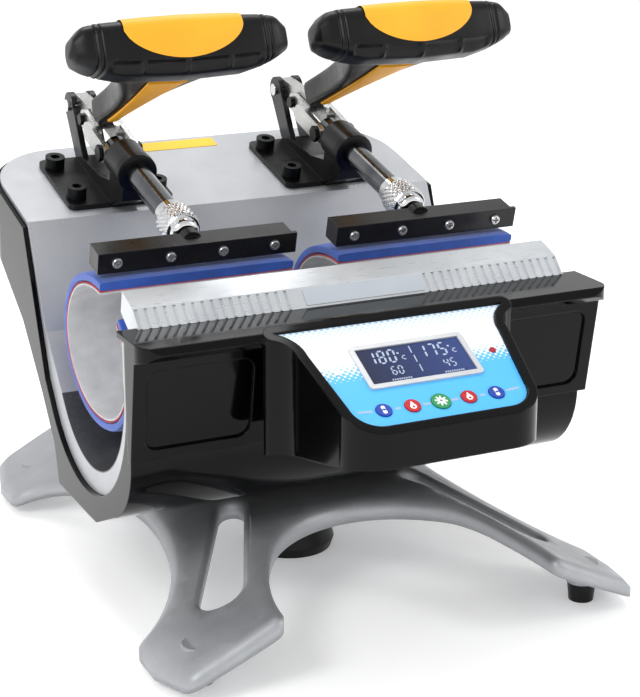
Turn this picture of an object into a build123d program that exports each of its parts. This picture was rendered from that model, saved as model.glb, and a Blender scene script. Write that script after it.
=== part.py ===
from build123d import *
import math
import os

os.makedirs("parts", exist_ok=True)

# Frame: origin on the floor under the centre of the base, +X to the operator's right,
# -Y towards the operator (control panel side), +Z up. All sizes in millimetres.

# General clearances
BEYOND = 400.0            # larger than the whole object, for cutting shapes
GAP = 0.3                 # between bodies that move past each other
FIT = 0.06                # radial running clearance of a pin or shaft
SEAT = 0.1                # between pieces that are screwed or clipped together

# Cast base
base_half_width = 153.0
base_half_depth = 189.0
base_top = 57.0
base_thickness = 12.0
base_tip_height = 18.0    # top surface at the tip of a leg
base_crown_half = 66.0    # half width of the level middle
arch_width = 87.0         # half width of the front and rear openings
arch_depth = 105.0
waist_depth = 60.0        # how far the side hollows reach in
waist_half = 123.0
waist_centre = 160.0
leg_bevel = 3.0
slot_inner = (64.0, 53.0, 8.0)      # x, y and radius of a leg slot's inner end
slot_outer = (base_half_width - 51.0, base_half_depth - 61.0, 13.0)
foot_x = base_half_width - 26.0
foot_y = base_half_depth - 33.0
foot_height = 12.0
foot_top_radius = 9.0
foot_bottom_radius = 7.7
boss_radius = 10.0
pad_bottom_radius = 29.0
pad_top_radius = 19.0

# Body
body_half_width = 148.0
wall = 3.0
skin = 2.5                # silver cover sheet
deck_angle = 14.0
bend_y = 84.0
bend_z = 215.0
deck_rear = 187.0
rear_corner = 50.0
rear_bottom = 194.0
trough_centre = (-29.0, 152.0)
trough_radius = 63.5
rim_centre = (-26.0, 152.0)
rim_radius = 79.0
trough_top = 186.0
flange = 3.5
body_floor = base_top
lower_front = 111.0       # distance of the lower front face from the origin

# Console
console_half_width = 150.0
console_top = 193.5
console_nose = 142.0
console_bottom = 119.0
console_corner = 14.0
console_face_y = 127.0    # front face, under the lip
console_foot_y = 116.5    # front face, at the bottom
lip_under = 182.0         # underside of the lip
recess_depth = 2.0
panel_top_y = -155.6      # reference line on the panel surface
panel_top_z = 183.8
panel_angle = 26.57
rim_height = 1.5          # the console rim stands this much above the panel
panel_sheet = 0.8
bezel_margin = 6.0
lip_bottom = 134.0

# Display and buttons on the panel, measured down the slope from the reference line
lcd_width = 71.5
lcd_height = 34.0
lcd_border = 3.2
lcd_centre = 17.0
button_row = 49.8
button_pitch = 17.5
button_radius = 4.6
set_button_radius = 5.6
button_travel = 0.8
led_row = 17.5
led_x = 49.0
led_radius = 1.9
board_depth = 8.0
board_sheet = 1.6

# Front bar
bar_half_length = 138.5
rib_pitch = 5.7
rib_width = 2.0
rib_depth = 1.0
label_width = 80.0
caution_x = -14.0

# Toggle clamps, in a local frame on the deck: t up the slope, n square to it
station = 77.2            # distance of each press station from the centre
toggle_y = 92.3
plate_length = 72.0
plate_half_width = 36.0
plate_thickness = 3.5
axis_height = 33.5        # plunger axis above the deck
pin_a = (91.0, 33.5)
arm_length = 29.5         # lever pivot to link pin
arm_drop = 5.0            # degrees that the arm lies past the line to the plunger
pin_c_t = 13.0
pin_radius = 2.5
cheek_thickness = 4.0
lever_half = 4.5
link_thickness = 3.5
handle_open = 80.0        # degrees

barrel_radius = 13.0
barrel_front = -22.6
barrel_rear = 4.0
plunger_radius = 8.0
plunger_front = -84.0
nut_radius = 12.0
nut_front = -104.0
nut_rear = -87.0
stud_radius = 4.0
bar_rear = -112.3
bar_depth = 12.5
bar_bottom = 23.6
bar_top = 36.8
bar_half = 62.0
clamp_sheet = 2.6
screw_pitch = 33.5
screw_radius = 3.3

# Handle, in a frame on the grip centre: h away from the pivot, v square to it
grip_t = -77.0
grip_n = 139.0
handle_angle = 36.5
grip_half = 68.0
grip_depth = 30.0
boot_clearance = 22.5     # from the end of the boot to the link pin
boot_half = 9.0

# Heater wrap: an oval band, open at the top front
wrap_centre = (-27.6, 159.5)
wrap_half_y = 61.0
wrap_half_z = 47.2
wrap_thickness = 6.6
sheet_thickness = 1.6
lip_y = -42.5
free_edge_y = -72.5

# Values worked out from the ones above
tan_deck = math.tan(math.radians(deck_angle))
cos_deck = math.cos(math.radians(deck_angle))
sin_deck = math.sin(math.radians(deck_angle))
cos_panel = math.cos(math.radians(panel_angle))
sin_panel = math.sin(math.radians(panel_angle))
leg_slope = (base_top - base_tip_height) / (base_half_width - 8 - base_crown_half)
toggle_z = bend_z + (toggle_y - bend_y) * tan_deck
pin_b = (pin_a[0] - arm_length * math.cos(math.radians(arm_drop)),
         pin_a[1] + arm_length * math.sin(math.radians(arm_drop)))
pin_c = (pin_c_t, axis_height)
link_length = math.dist(pin_b, pin_c)
shank_length = math.dist(pin_b, (grip_t, grip_n)) - boot_clearance


def section(x=0.0):
    """Plane across the width; its sketch coordinates are (y, z)."""
    return Plane(origin=(x, 0, 0), x_dir=(0, 1, 0), z_dir=(1, 0, 0))


def toggle_point(t, n):
    """Turn a point of the toggle frame into (y, z)."""
    return (toggle_y + t * cos_deck - n * sin_deck, toggle_z + t * sin_deck + n * cos_deck)


def toggle_side(x):
    """Plane across the width; its sketch coordinates are (t, n)."""
    return Plane(origin=(x, toggle_y, toggle_z), x_dir=(0, cos_deck, sin_deck), z_dir=(1, 0, 0))


def toggle_axis(x, t, n):
    """Plane square to the plunger; it looks up the slope."""
    y, z = toggle_point(t, n)
    return Plane(origin=(x, y, z), x_dir=(1, 0, 0), z_dir=(0, cos_deck, sin_deck))


def deck_plane(x, t, n):
    """Plane parallel to the deck; its sketch coordinates are (x, t)."""
    y, z = toggle_point(t, n)
    return Plane(origin=(x, y, z), x_dir=(1, 0, 0), z_dir=(0, -sin_deck, cos_deck))


def panel_plane(height=0.0):
    """Plane parallel to the control panel; +y of its sketches is up the slope."""
    return Plane(origin=(0, panel_top_y - height * sin_panel, panel_top_z + height * cos_panel),
                 x_dir=(1, 0, 0), z_dir=(0, -sin_panel, cos_panel))


handle_tilt = math.radians(deck_angle - handle_angle)
handle_dir = (-math.cos(handle_tilt), -math.sin(handle_tilt))


def handle_plane(x, h, v=0.0):
    """Plane square to the handle at distance h past the grip centre."""
    y, z = toggle_point(grip_t, grip_n)
    y += h * handle_dir[0] + v * handle_dir[1]
    z += h * handle_dir[1] - v * handle_dir[0]
    return Plane(origin=(x, y, z), x_dir=(1, 0, 0), z_dir=(0, handle_dir[0], handle_dir[1]))


def finish(builder, name):
    """Label a finished piece and write it."""
    builder.part.label = name
    export_step(builder.part, "parts/" + name + ".step")


# Base casting: an arched slab cut to a four legged outline
def leg_top(x):
    return base_top - max(0.0, x - base_crown_half) * leg_slope


with BuildPart() as base_casting:
    edge_x = base_half_width + 2
    with BuildSketch(Plane.XZ):
        with BuildLine():
            Polyline((-edge_x, leg_top(edge_x)), (-base_crown_half, base_top),
                     (base_crown_half, base_top), (edge_x, leg_top(edge_x)),
                     (edge_x, leg_top(edge_x) - base_thickness + 3),
                     (base_crown_half, base_top - base_thickness),
                     (-base_crown_half, base_top - base_thickness),
                     (-edge_x, leg_top(edge_x) - base_thickness + 3), close=True)
        arch_face = make_face()
        crown = arch_face.vertices().filter_by(lambda p: abs(abs(p.X) - base_crown_half) < 1)
        fillet(crown, radius=40)
    extrude(amount=base_half_depth, both=True)
    with Locations([(sx * foot_x, sy * foot_y, foot_height) for sx in (-1, 1) for sy in (-1, 1)]):
        Cylinder(radius=boss_radius, height=leg_top(foot_x) - foot_height - 4,
                 align=(Align.CENTER, Align.CENTER, Align.MIN))
    with BuildSketch(Plane.XY):
        with BuildLine():
            hw, hd = base_half_width, base_half_depth
            Polyline((-hw, -hd + 35), (-hw + 8, -hd + 3), (0, -hd - 4), (hw - 8, -hd + 3),
                     (hw, -hd + 35), (hw, hd - 35), (hw - 8, hd - 3), (0, hd + 4),
                     (-hw + 8, hd - 3), (-hw, hd - 35), close=True)
        make_face()
        with Locations((0, -hd), (0, hd)):
            Ellipse(arch_width, arch_depth, mode=Mode.SUBTRACT)
        with Locations((-waist_centre, 0), (waist_centre, 0)):
            Ellipse(waist_depth, waist_half, mode=Mode.SUBTRACT)
    extrude(amount=base_top + 5, mode=Mode.INTERSECT)
    corners = base_casting.edges().filter_by(Axis.Z).filter_by(lambda e: e.length > 7)
    fillet(corners, radius=7)
    for sx in (-1, 1):
        for sy in (-1, 1):
            with BuildSketch(Plane.XY):
                for px, py, radius in (slot_inner, slot_outer):
                    with Locations((sx * px, sy * py)):
                        Circle(radius)
                make_hull()
            extrude(amount=base_top + 5, mode=Mode.SUBTRACT)
finish(base_casting, "base_casting")

with BuildPart() as rubber_feet:
    with BuildSketch(Plane.XY):
        with Locations([(sx * foot_x, sy * foot_y) for sx in (-1, 1) for sy in (-1, 1)]):
            Circle(foot_bottom_radius)
    foot_taper = math.degrees(math.atan((foot_bottom_radius - foot_top_radius) / foot_height))
    extrude(amount=foot_height, taper=foot_taper)
finish(rubber_feet, "rubber_feet")

with BuildPart() as centre_pad:
    with BuildSketch(Plane.XY):
        Circle(pad_bottom_radius - 2)
    with BuildSketch(Plane.XY.offset(6)):
        Circle(pad_bottom_radius)
    with BuildSketch(Plane.XY.offset(base_top - base_thickness)):
        Circle(pad_top_radius)
    loft(ruled=True)
finish(centre_pad, "centre_pad")

bolt_points = [(sx * 46.0, y) for sx in (-1, 1) for y in (-22.0, 14.0)]
with BuildPart() as base_bolts:
    with BuildSketch(Plane.XY.offset(base_top - base_thickness - 5)):
        with Locations(bolt_points):
            RegularPolygon(7.5, 6)
    extrude(amount=5)
finish(base_bolts, "base_bolts")


# Body profiles. The skin line runs from the front rim round the trough and up to the deck.
def skin_face(depth):
    """Everything below the silver skin, its surface sunk by depth."""
    cy, cz = trough_centre
    radius = trough_radius + depth
    out = math.radians(-38)
    rise = bend_z + (deck_rear + 20 - bend_y) * tan_deck
    with BuildSketch(mode=Mode.PRIVATE) as face:
        with BuildLine():
            start = (cy - radius, trough_top)
            exit_point = (cy + radius * math.cos(out), cz + radius * math.sin(out))
            Line(start, (cy - radius, cz))
            ThreePointArc((cy - radius, cz), (cy, cz - radius), exit_point)
            Polyline(exit_point, (54 + depth, 150 - depth * 0.6),
                     (bend_y + depth * 0.8, bend_z + depth * (0.8 * tan_deck - 1 / cos_deck)),
                     (deck_rear + 20, rise - depth / cos_deck), (deck_rear + 20, 0),
                     (-BEYOND, 0), (-BEYOND, trough_top), start)
        make_face()
    return face.sketch_local


def rim_face():
    """Everything below the edge of the black side walls."""
    cy, cz = rim_centre
    out = math.radians(-33)
    rise = bend_z + (deck_rear + 20 - bend_y) * tan_deck
    with BuildSketch(mode=Mode.PRIVATE) as face:
        with BuildLine():
            start = (cy - rim_radius, trough_top)
            exit_point = (cy + rim_radius * math.cos(out), cz + rim_radius * math.sin(out))
            Line(start, (cy - rim_radius, cz))
            ThreePointArc((cy - rim_radius, cz), (cy, cz - rim_radius), exit_point)
            Polyline(exit_point, (49, 120), (bend_y - 0.5, bend_z - 3.0),
                     (deck_rear + 20, rise - 2.5), (deck_rear + 20, 0),
                     (-BEYOND, 0), (-BEYOND, trough_top), start)
        make_face()
    return face.sketch_local


def outer_face(inset=0.0):
    """The outer outline of the body, closed high above it."""
    with BuildSketch(mode=Mode.PRIVATE) as face:
        with BuildLine():
            low_front = (-lower_front, console_bottom)
            Line((-lower_front, BEYOND), low_front)
            ThreePointArc(low_front, (-102.5, 92), (-77, 73))
            Polyline((-77, 73), (-44, body_floor + 0.5), (-30, body_floor), (29, body_floor),
                     (36, 82), (58, 110), (94, 148), (138, 176), (deck_rear, rear_bottom),
                     (deck_rear, BEYOND), (-lower_front, BEYOND))
        make_face()
        if inset:
            offset(amount=-inset, kind=Kind.INTERSECTION, mode=Mode.REPLACE)
    return face.sketch_local


def plan_face(inset=0.0):
    """Plan of the body with its rounded rear corners."""
    half = body_half_width - inset
    with BuildSketch(mode=Mode.PRIVATE) as face:
        with Locations((0, (deck_rear - inset - 200) / 2)):
            Rectangle(2 * half, deck_rear - inset + 200)
        rear = face.vertices().group_by(Axis.Y)[-1]
        fillet(rear, radius=rear_corner - inset)
    return face.sketch_local


with BuildPart() as housing_cavity:
    with BuildSketch(section()):
        add(outer_face(wall))
    extrude(amount=body_half_width - wall, both=True)
    with BuildSketch(Plane.XY):
        add(plan_face(wall))
    extrude(amount=BEYOND, mode=Mode.INTERSECT)

fuse_centre = (body_half_width - rear_corner - 14.0, rear_bottom + 22.0)
inlet_centre = (fuse_centre[0] - 30.0, fuse_centre[1])
switch_centre = (inlet_centre[0] - 36.0, fuse_centre[1])

with BuildPart() as lower_housing:
    with BuildSketch(section()):
        add(outer_face())
        add(rim_face(), mode=Mode.INTERSECT)
    extrude(amount=body_half_width, both=True)
    with BuildSketch(Plane.XY):
        add(plan_face())
    extrude(amount=BEYOND, mode=Mode.INTERSECT)
    add(housing_cavity.part, mode=Mode.SUBTRACT)
    with BuildSketch(Plane.XZ.offset(-deck_rear - 1)):
        with Locations(inlet_centre):
            Rectangle(28, 21)
        with Locations(switch_centre):
            Rectangle(22, 14)
        with Locations(fuse_centre):
            Circle(6.2)
    extrude(amount=10, mode=Mode.SUBTRACT)
finish(lower_housing, "lower_housing")

cover_half = body_half_width - wall - 0.3
with BuildPart() as top_cover:
    with BuildSketch(section()):
        add(skin_face(0))
        add(skin_face(skin), mode=Mode.SUBTRACT)
    extrude(amount=cover_half, both=True)
    for sx in (-1, 1):
        with BuildSketch(section(sx * (cover_half - flange / 2))):
            add(skin_face(0))
            add(rim_face(), mode=Mode.SUBTRACT)
        extrude(amount=flange / 2, both=True)
    with BuildSketch(Plane.XY):
        add(plan_face(wall + 0.3))
    extrude(amount=BEYOND, mode=Mode.INTERSECT)
    for sx in (-1, 1):
        with BuildSketch(deck_plane(sx * station, 0, 1)):
            with GridLocations(2 * (plate_half_width - 8), plate_length - 26, 2, 2):
                with Locations((0, plate_length / 2)):
                    Circle(3.2)
        extrude(amount=-6, mode=Mode.SUBTRACT)
finish(top_cover, "top_cover")

frame_thickness = 4.0
for side_name, sx in (("left", -1), ("right", 1)):
    with BuildPart() as side_frame:
        with BuildSketch(section(sx * 122.0)):
            add(outer_face(wall + 0.05))
            add(skin_face(skin + 0.05), mode=Mode.INTERSECT)
        extrude(amount=frame_thickness / 2, both=True)
        with BuildSketch(Plane.XY):
            add(plan_face(wall + 0.3))
        extrude(amount=BEYOND, mode=Mode.INTERSECT)
    finish(side_frame, side_name + "_side_frame")

with BuildPart() as toggle_mount:
    mount_half = 119.5
    with BuildSketch(deck_plane(0, 0, -skin - 0.05)):
        with Locations((0, plate_length / 2)):
            Rectangle(2 * mount_half, plate_length - 4)
        for sx in (-1, 1):
            with Locations((sx * station, plate_length / 2)):
                with GridLocations(2 * (plate_half_width - 8), plate_length - 26, 2, 2):
                    Circle(3.05, mode=Mode.SUBTRACT)
    extrude(amount=-4)
finish(toggle_mount, "toggle_mount")


# Console: a nosed block across the front with a wedge for the control panel
console_outline = [(-lower_front - 0.3, console_bottom), (-console_foot_y, console_bottom + 2),
                   (-console_face_y, lip_under), (-console_nose + 5, lip_under + 3),
                   (-console_nose, lip_under + 7), (-console_nose, console_top - 3.5),
                   (-console_nose + 4, console_top), (-99, console_top), (-99, console_top - 3.5),
                   (-lower_front - 0.3, console_top - 3.5)]
console_hollow = [(-lower_front + 5, console_bottom + wall), (-console_foot_y + 5.5, console_bottom + wall + 2),
                  (-console_face_y + 5.5, lip_under + 1.5), (-console_nose + 7, lip_under + 5),
                  (-console_nose + 7, console_top - wall), (-99 + 6, console_top - wall),
                  (-99 + 6, console_top - 15), (-lower_front + 5, console_top - 15)]


def panel_outline(margin=0.0):
    """Outline of the control panel, grown by margin."""
    with BuildSketch(mode=Mode.PRIVATE) as face:
        with BuildLine():
            Line((-73, 18), (73, 18))
            ThreePointArc((73, 18), (64.5, 11), (60.5, -2))
            Line((60.5, -2), (54.5, -46))
            ThreePointArc((54.5, -46), (49.5, -57.5), (38, -62))
            Line((38, -62), (-38, -62))
            ThreePointArc((-38, -62), (-49.5, -57.5), (-54.5, -46))
            Line((-54.5, -46), (-60.5, -2))
            ThreePointArc((-60.5, -2), (-64.5, 11), (-73, 18))
        make_face()
        if margin:
            offset(amount=margin, kind=Kind.ARC, mode=Mode.REPLACE)
    return face.sketch_local


def wedge_face(inset=0.0):
    """Side view of the space the wedge may fill."""
    with BuildSketch(mode=Mode.PRIVATE) as face:
        with BuildLine():
            Polyline((-112 + 2 * inset, 210), (-240, 210), (-240, lip_bottom + inset),
                     (-213 + inset, lip_bottom + inset), (-112 + 2 * inset, 118 + inset), close=True)
        make_face()
    return face.sketch_local


with BuildPart() as wedge_outer:
    with BuildSketch(panel_plane(rim_height)):
        add(panel_outline(bezel_margin))
    extrude(amount=90, dir=(0, 0, -1))
    with BuildSketch(section(-100)):
        add(wedge_face())
    extrude(amount=200, mode=Mode.INTERSECT)

with BuildPart() as wedge_inner:
    with BuildSketch(panel_plane(-3.2)):
        add(panel_outline(bezel_margin - wall))
    extrude(amount=90, dir=(0, 0, -1))
    with BuildSketch(section(-100)):
        add(wedge_face(wall))
    extrude(amount=200, mode=Mode.INTERSECT)

with BuildPart() as console_inner:
    with BuildSketch(section()):
        with BuildLine():
            Polyline(*console_hollow, close=True)
        make_face()
    extrude(amount=console_half_width - wall, both=True)
    add(wedge_inner.part)

button_names = ("left_time_button", "left_heat_button", "set_button",
                "right_heat_button", "right_time_button")
button_spots = [(i - 2) * button_pitch for i in range(5)]


def button_size(index):
    return set_button_radius if index == 2 else button_radius


with BuildPart() as console_shell:
    with BuildSketch(section()):
        with BuildLine():
            Polyline(*console_outline, close=True)
        make_face()
    extrude(amount=console_half_width, both=True)
    with BuildSketch(Plane.XY):
        with Locations((0, -console_nose + 50)):
            RectangleRounded(2 * console_half_width, 100, console_corner)
    extrude(amount=BEYOND, mode=Mode.INTERSECT)
    for sx in (-1, 1):
        face_tilt = math.atan2(lip_under - console_bottom - 2, console_face_y - console_foot_y)
        pocket = Plane(origin=(sx * 110.0, -console_foot_y, console_bottom + 2), x_dir=(1, 0, 0),
                       z_dir=(0, -math.sin(face_tilt), -math.cos(face_tilt)))
        with BuildSketch(pocket):
            with Locations((0, 31)):
                RectangleRounded(64, 50, 8)
        extrude(amount=-recess_depth, mode=Mode.SUBTRACT)
    add(wedge_outer.part)
    add(console_inner.part, mode=Mode.SUBTRACT)
    with BuildSketch(panel_plane(-panel_sheet)):
        add(panel_outline(0.2))
    extrude(amount=6, mode=Mode.SUBTRACT)
    with BuildSketch(panel_plane(2)):
        with Locations((0, -lcd_centre)):
            Rectangle(lcd_width - 2 * lcd_border + 1, lcd_height - 2 * lcd_border + 1)
        for i, px in enumerate(button_spots):
            with Locations((px, -button_row)):
                Circle(button_size(i) + 0.25)
        with Locations((-led_x, -led_row), (led_x, -led_row)):
            Circle(led_radius + 0.15)
    extrude(amount=-8, mode=Mode.SUBTRACT)
finish(console_shell, "console_shell")

with BuildPart() as control_panel:
    with BuildSketch(panel_plane(0)):
        add(panel_outline())
        with Locations((0, -lcd_centre)):
            Rectangle(lcd_width - 2 * lcd_border + 1, lcd_height - 2 * lcd_border + 1,
                      mode=Mode.SUBTRACT)
        for i, px in enumerate(button_spots):
            with Locations((px, -button_row)):
                Circle(button_size(i) + 0.25, mode=Mode.SUBTRACT)
        with Locations((-led_x, -led_row), (led_x, -led_row)):
            Circle(led_radius + 0.15, mode=Mode.SUBTRACT)
    extrude(amount=-panel_sheet)
finish(control_panel, "control_panel")

with BuildPart() as lcd_bezel:
    with BuildSketch(panel_plane(0)):
        with Locations((0, -lcd_centre)):
            RectangleRounded(lcd_width, lcd_height, 2.5)
            Rectangle(lcd_width - 2 * lcd_border, lcd_height - 2 * lcd_border, mode=Mode.SUBTRACT)
    extrude(amount=1.2)
finish(lcd_bezel, "lcd_bezel")

with BuildPart() as lcd_screen:
    with BuildSketch(panel_plane(0.3)):
        with Locations((0, -lcd_centre)):
            Rectangle(lcd_width - 2 * lcd_border - 0.2, lcd_height - 2 * lcd_border - 0.2)
    extrude(amount=-board_depth - 0.3)
finish(lcd_screen, "lcd_screen")

with BuildPart() as indicator_leds:
    with BuildSketch(panel_plane(0.8)):
        with Locations((-led_x, -led_row), (led_x, -led_row)):
            Circle(led_radius)
    extrude(amount=-board_depth - 0.8)
finish(indicator_leds, "indicator_leds")

for i, px in enumerate(button_spots):
    with BuildPart() as button:
        with BuildSketch(panel_plane(-6.0)):
            with Locations((px, -button_row)):
                Circle(button_size(i))
        extrude(amount=6.8)
        with BuildSketch(panel_plane(-5.2)):
            with Locations((px, -button_row)):
                Circle(button_size(i) + 1.2)
        extrude(amount=1.8)
    finish(button, button_names[i])

with BuildPart() as control_board:
    with BuildSketch(panel_plane(-board_depth)):
        with Locations((0, -24)):
            Rectangle(102, 64)
    extrude(amount=-board_sheet)
    with BuildSketch(panel_plane(-board_depth)):
        with Locations([(px, -button_row) for px in button_spots]):
            Rectangle(6, 6)
    extrude(amount=1.0)
finish(control_board, "control_board")

with BuildPart() as board_standoffs:
    with BuildSketch(panel_plane(-board_depth)):
        with Locations([(sx * 46.5, y) for sx in (-1, 1) for y in (0.0, -50.0)]):
            Circle(2.5)
    extrude(amount=board_depth - 3.2)
finish(board_standoffs, "board_standoffs")


# Ribbed front bar, with a blank label plate in its middle
bar_profile = [(-77.5, 209.5), (-94.0, 203.6), (-103.6, console_top + 0.1), (-99.0, console_top + 0.1),
               (-93.0, trough_top + SEAT), (-91.5, trough_top + SEAT), (-74.5, 196.5)]
with BuildPart() as front_bar:
    with BuildSketch(section()):
        with BuildLine():
            Polyline(*bar_profile, close=True)
        make_face()
    extrude(amount=bar_half_length, both=True)
    face_angle = math.atan2(bar_profile[1][1] - bar_profile[2][1], bar_profile[1][0] - bar_profile[2][0])
    rib_plane = Plane(origin=(0, bar_profile[2][0], bar_profile[2][1]), x_dir=(1, 0, 0),
                      z_dir=(0, -math.sin(face_angle), math.cos(face_angle)))
    rib_count = int(bar_half_length / rib_pitch)
    rib_spots = [i * rib_pitch for i in range(-rib_count, rib_count + 1)]
    rib_spots = [x for x in rib_spots if abs(x) > label_width / 2 + 2]
    with BuildSketch(rib_plane):
        with Locations([(x, 5.0) for x in rib_spots]):
            Rectangle(rib_width, 16.0)
    extrude(amount=-rib_depth, mode=Mode.SUBTRACT)
finish(front_bar, "front_bar")

with BuildPart() as label_plate:
    with BuildSketch(rib_plane):
        with Locations((4, 7.0)):
            RectangleRounded(label_width - 2, 11.0, 1)
    extrude(amount=0.5)
finish(label_plate, "label_plate")

with BuildPart() as caution_label:
    with BuildSketch(deck_plane(0, 84, 0)):
        with Locations((caution_x, 0)):
            RectangleRounded(70, 13, 1.5)
    extrude(amount=0.3)
finish(caution_label, "caution_label")

# Power entry on the rear wall
with BuildPart() as power_inlet:
    with BuildSketch(Plane.XZ.offset(-deck_rear)):
        with Locations(inlet_centre):
            RectangleRounded(34, 27, 3)
            Rectangle(24, 16.5, mode=Mode.SUBTRACT)
    extrude(amount=-2.5)
    with BuildSketch(Plane.XZ.offset(-deck_rear)):
        with Locations(inlet_centre):
            Rectangle(27.4, 20.4)
            Rectangle(24, 16.5, mode=Mode.SUBTRACT)
    extrude(amount=18)
    with BuildSketch(Plane.XZ.offset(-deck_rear + 15)):
        with Locations(inlet_centre):
            Rectangle(27.4, 20.4)
    extrude(amount=3)
    with BuildSketch(Plane.XZ.offset(-deck_rear + 15)):
        with Locations([(inlet_centre[0] + dx, inlet_centre[1] + dz)
                        for dx, dz in ((-7, -4), (0, 0), (7, -4))]):
            Rectangle(2, 4.5)
    extrude(amount=-13)
finish(power_inlet, "power_inlet")

switch_width = 15.0
switch_opening = switch_width + 3.4   # the rocker's corners swing wider than it is
with BuildPart() as switch_frame:
    with BuildSketch(Plane.XZ.offset(-deck_rear)):
        with Locations(switch_centre):
            Rectangle(25, 18)
            Rectangle(switch_opening, 10.6, mode=Mode.SUBTRACT)
    extrude(amount=-1.5)
    with BuildSketch(Plane.XZ.offset(-deck_rear)):
        with Locations(switch_centre):
            Rectangle(21.4, 13.4)
            Rectangle(switch_opening, 10.6, mode=Mode.SUBTRACT)
    extrude(amount=16)
    with BuildSketch(Plane.XZ.offset(-deck_rear + 13)):
        with Locations(switch_centre):
            Rectangle(21.4, 13.4)
    extrude(amount=3)
finish(switch_frame, "switch_frame")

rocker_throw = 16.0
rocker_y = deck_rear - 4.0
with BuildPart() as rocker_switch:
    with BuildSketch(Plane.XY.offset(switch_centre[1] - 4.9)):
        with BuildLine():
            lean = math.radians(rocker_throw / 2)
            half = switch_width / 2
            x0 = switch_centre[0]
            tips = [(x0 - half * math.cos(lean), rocker_y + 5.2 + half * math.sin(lean)),
                    (x0, rocker_y + 4.4),
                    (x0 + half * math.cos(lean) * 0.94, rocker_y + 5.2 - half * math.sin(lean)),
                    (x0 + 5.0, rocker_y - 4.0), (x0 - 5.0, rocker_y - 4.0)]
            Polyline(*tips, close=True)
        make_face()
    extrude(amount=9.8)
finish(rocker_switch, "rocker_switch")

with BuildPart() as fuse_holder:
    with BuildSketch(Plane.XZ.offset(-deck_rear)):
        with Locations(fuse_centre):
            Circle(8)
    extrude(amount=-6)
    with BuildSketch(Plane.XZ.offset(-deck_rear)):
        with Locations(fuse_centre):
            Circle(6.1)
    extrude(amount=24)
finish(fuse_holder, "fuse_holder")

with BuildPart() as power_board:
    board_y = deck_rear - wall - 9
    board_x = 2 - (body_half_width - rear_corner) / 2
    board_z = rear_bottom + 21
    with BuildSketch(Plane.XZ.offset(-board_y)):
        with Locations((board_x, board_z)):
            Rectangle(100, 28)
    extrude(amount=1.6)
    with BuildSketch(Plane.XZ.offset(-board_y)):
        with Locations([(board_x + dx, board_z + dz) for dx in (-44, 44) for dz in (-10, 10)]):
            Circle(2.5)
    extrude(amount=-9)
    with BuildSketch(Plane.XZ.offset(-board_y + 1.6)):
        with Locations((board_x - 30, board_z), (board_x - 2, board_z)):
            Rectangle(20, 16)
        with Locations((board_x + 29, board_z)):
            Rectangle(28, 22)
    extrude(amount=15)
finish(power_board, "power_board")

# Rivets at the lever pivots and the screws that hold both toggles
with BuildPart() as lever_pivots:
    ay, az = toggle_point(*pin_a)
    cheek_out = lever_half + 0.5 + cheek_thickness
    for sx in (-1, 1):
        with BuildSketch(section(sx * station - cheek_out)):
            with Locations((ay, az)):
                Circle(pin_radius)
        extrude(amount=2 * cheek_out)
        for face_x, direction in ((-cheek_out, -1), (cheek_out, 1)):
            with BuildSketch(section(sx * station + face_x)):
                with Locations((ay, az)):
                    Circle(4.2)
            extrude(amount=1.8 * direction)
finish(lever_pivots, "lever_pivots")

with BuildPart() as toggle_bolts:
    for sx in (-1, 1):
        for radius, low, high in ((2.9, -skin - 4.05, plate_thickness), (6.5, plate_thickness, plate_thickness + 8)):
            with BuildSketch(deck_plane(sx * station, 0, low)):
                with Locations((0, plate_length / 2)):
                    with GridLocations(2 * (plate_half_width - 8), plate_length - 26, 2, 2):
                        Circle(radius)
            extrude(amount=high - low)
        with BuildSketch(deck_plane(sx * station, 0, plate_thickness + 4)):
            with Locations((0, plate_length / 2)):
                with GridLocations(2 * (plate_half_width - 8), plate_length - 26, 2, 2):
                    RegularPolygon(3.4, 6)
        extrude(amount=5, mode=Mode.SUBTRACT)
finish(toggle_bolts, "toggle_bolts")


def wrap_section(half_y, half_z, thickness):
    """An oval band with the mouth cut out at its top front."""
    cy, cz = wrap_centre
    with BuildSketch(mode=Mode.PRIVATE) as band:
        with Locations((cy, cz)):
            Ellipse(half_y, half_z)
            Ellipse(half_y - thickness, half_z - thickness, mode=Mode.SUBTRACT)
        with BuildLine():
            Polyline((lip_y + 3, cz + 70), (lip_y - 3, cz + 20), (free_edge_y + 8, cz + 10),
                     (free_edge_y - 12, cz + 70), close=True)
        make_face(mode=Mode.SUBTRACT)
    return band.sketch_local


# Cradle posts stand on the skin and carry the two wraps from below
with BuildPart() as heater_cradles:
    for post_x in (-station - 34, -station + 34, station - 34, station + 34):
        with BuildSketch(section(post_x)):
            with Locations((wrap_centre[0], 102)):
                Rectangle(30, 44)
            with Locations(trough_centre):
                Circle(trough_radius - 0.05, mode=Mode.INTERSECT)
            with Locations(wrap_centre):
                Ellipse(wrap_half_y + 0.05, wrap_half_z + 0.05, mode=Mode.SUBTRACT)
        extrude(amount=6, both=True)
finish(heater_cradles, "heater_cradles")


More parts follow.
